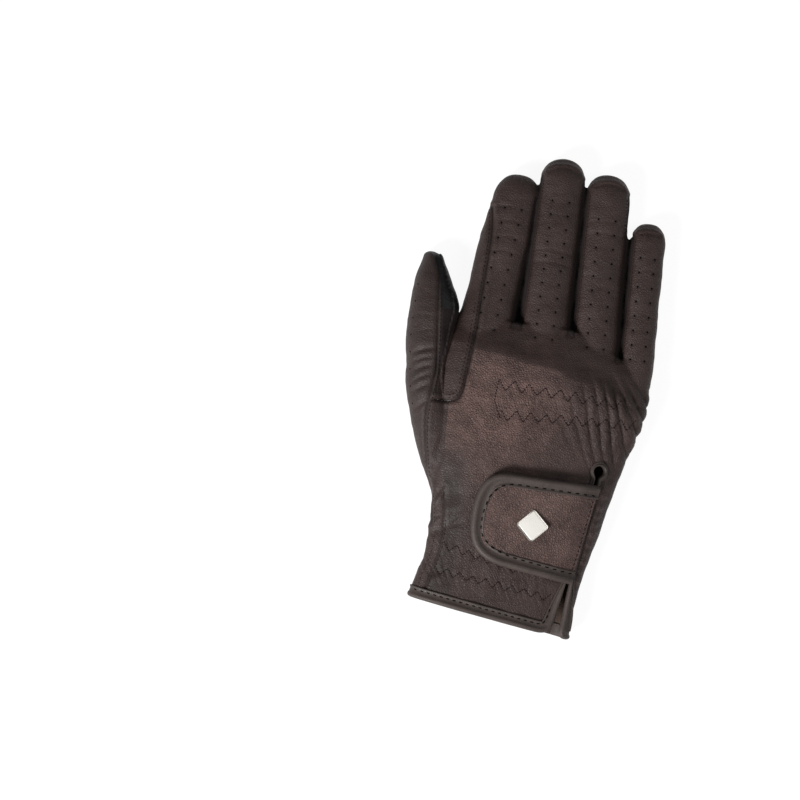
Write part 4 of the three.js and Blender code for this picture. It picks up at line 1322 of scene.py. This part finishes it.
hem_row = edge + inward * 3.35
hem_top = hem_row[(narrow < 0.25) & (facing[:, 2] > 0.3)]
binding_tree = tree_of(binding, binding_points)
order = np.argsort(-hem_top[:, 0])
left_part = hem_top[order][hem_top[order][:, 0] < slit_left]
stitches("hem_stitches", [sewn(left_part[:, :2], 3.2)], binding_tree, THREAD_BLACK, 1.8, 0.46)
tab_tree = tree_of(tab_binding, points_of(tab_binding))
stitches("tab_stitches", [sewn(tab_outline(TAB_TAPE["inset"] + 3.9), 3.9)], tab_tree, THREAD_BLACK, 2.1, 0.46)
tab_leather_tree = tree_of(tab, points_of(tab))
sewn_y = np.linspace(TAB_TOP - 3, TAB_TOP - TAB_WIDTH + 3, 20)
stitches("tab_edge_stitches", [sewn(np.stack([tab_sewn_x(sewn_y) - 1.3, sewn_y], axis=1), 2.2)], tab_leather_tree,
         THREAD, 1.5, 0.3)


# Plate
# A small lozenge with rounded corners and a satin white face, riveted to the middle of the tab. It is bare.
PLATE_SIDE, PLATE_THICKNESS, PLATE_CORNER, PLATE_LIFT = 11.2, 0.8, 1.3, 0.55
PLATE_TILT, PLATE_TURN = math.radians(-1.5), math.radians(47)
plate_x, plate_y = 6.9, TAB_TOP - 0.49 * TAB_WIDTH
plate_z = float(hand_top(np.array(plate_x), plate_y, TAB_LOW + TAB_LEATHER) - settle(plate_x, plate_y))
bpy.ops.mesh.primitive_cube_add(size=1)
plate = bpy.context.object
plate.name = "plate"
plate.scale = (PLATE_SIDE * MM, PLATE_SIDE * MM, PLATE_THICKNESS * MM)
plate.location = (plate_x * MM, plate_y * MM, (plate_z + PLATE_LIFT) * MM)
plate.rotation_euler = (0, PLATE_TILT, PLATE_TURN)
bpy.ops.object.transform_apply(location=True, rotation=True, scale=True)
bpy.ops.object.mode_set(mode="EDIT")
bpy.ops.mesh.select_all(action="DESELECT")
bpy.ops.object.mode_set(mode="OBJECT")
for side in plate.data.edges:
    a, b = (plate.data.vertices[k].co for k in side.vertices)
    side.select = abs(a.z - b.z) > 0.7 * PLATE_THICKNESS * MM
bpy.ops.object.mode_set(mode="EDIT")
bpy.ops.mesh.bevel(offset=PLATE_CORNER * MM, segments=8, affect="EDGES")
bpy.ops.object.mode_set(mode="OBJECT")
apply(plate, "BEVEL", width=0.22 * MM, segments=4, limit_method="ANGLE", angle_limit=math.radians(60))
bpy.ops.object.shade_smooth_by_angle(angle=math.radians(35))
enamel = Look("white_plate", Specular_IOR_Level=0.5)
enamel.set("Base Color", enamel.blend(enamel.noise(4, 3.0), colour(202, 199, 193), colour(212, 209, 203)))
enamel.set("Roughness", 0.3 + 0.1 * enamel.noise(1.5, 3.0))
plate.data.materials.append(enamel.material)
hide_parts("plate")
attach(plate, "root")


# Floor, light and camera
# The glove lies on a white sheet under soft light and is seen from straight above, turned as in the photo.
PHOTO_SCALE = 0.48
PHOTO_TURN = math.radians(8)
bpy.ops.mesh.primitive_plane_add(size=6, location=(0, 0, -0.0004))
floor = bpy.context.object
floor.name = "floor"
white = bpy.data.materials.new("floor_white")
white.use_nodes = True
for socket, value in (("Base Color", (0.12, 0.12, 0.12, 1)), ("Roughness", 0.9), ("Emission Color", (1, 1, 1, 1)),
                      ("Emission Strength", 0.92)):
    white.node_tree.nodes["Principled BSDF"].inputs[socket].default_value = value
floor.data.materials.append(white)

world = bpy.data.worlds.new("studio")
bpy.context.scene.world = world
world.use_nodes = True
world.node_tree.nodes["Background"].inputs["Color"].default_value = (1, 1, 1, 1)
world.node_tree.nodes["Background"].inputs["Strength"].default_value = 0.16


def softbox(name, place, size, power):
    data = bpy.data.lights.new(name, "AREA")
    data.shape = "RECTANGLE"
    data.size, data.size_y = size
    data.energy = power
    lamp = bpy.data.objects.new(name, data)
    bpy.context.collection.objects.link(lamp)
    lamp.location = place
    lamp.rotation_mode = "QUATERNION"
    lamp.rotation_quaternion = (-Vector(place)).to_track_quat("-Z", "Y")


softbox("window_light", (-0.66, -0.74, 0.7), (0.4, 0.4), 24)
softbox("fill_light", (0.75, 0.1, 0.9), (0.6, 0.6), 4)

camera_data = bpy.data.cameras.new("camera")
camera = bpy.data.objects.new("camera", camera_data)
bpy.context.collection.objects.link(camera)
camera_data.lens = 120
field = 800 * PHOTO_SCALE * MM
# The photo's middle, in its pixels from the glove's origin
RIGHT, UP = -130, 30
centre_x = PHOTO_SCALE * (RIGHT * math.cos(PHOTO_TURN) - UP * math.sin(PHOTO_TURN)) * MM
centre_y = PHOTO_SCALE * (RIGHT * math.sin(PHOTO_TURN) + UP * math.cos(PHOTO_TURN)) * MM
camera.location = (centre_x, centre_y, 0.012 + field * camera_data.lens / camera_data.sensor_width)
camera.rotation_euler = (0, 0, PHOTO_TURN)
camera_data.clip_end = 50
bpy.context.scene.camera = camera
bpy.context.scene.view_settings.view_transform = "Standard"
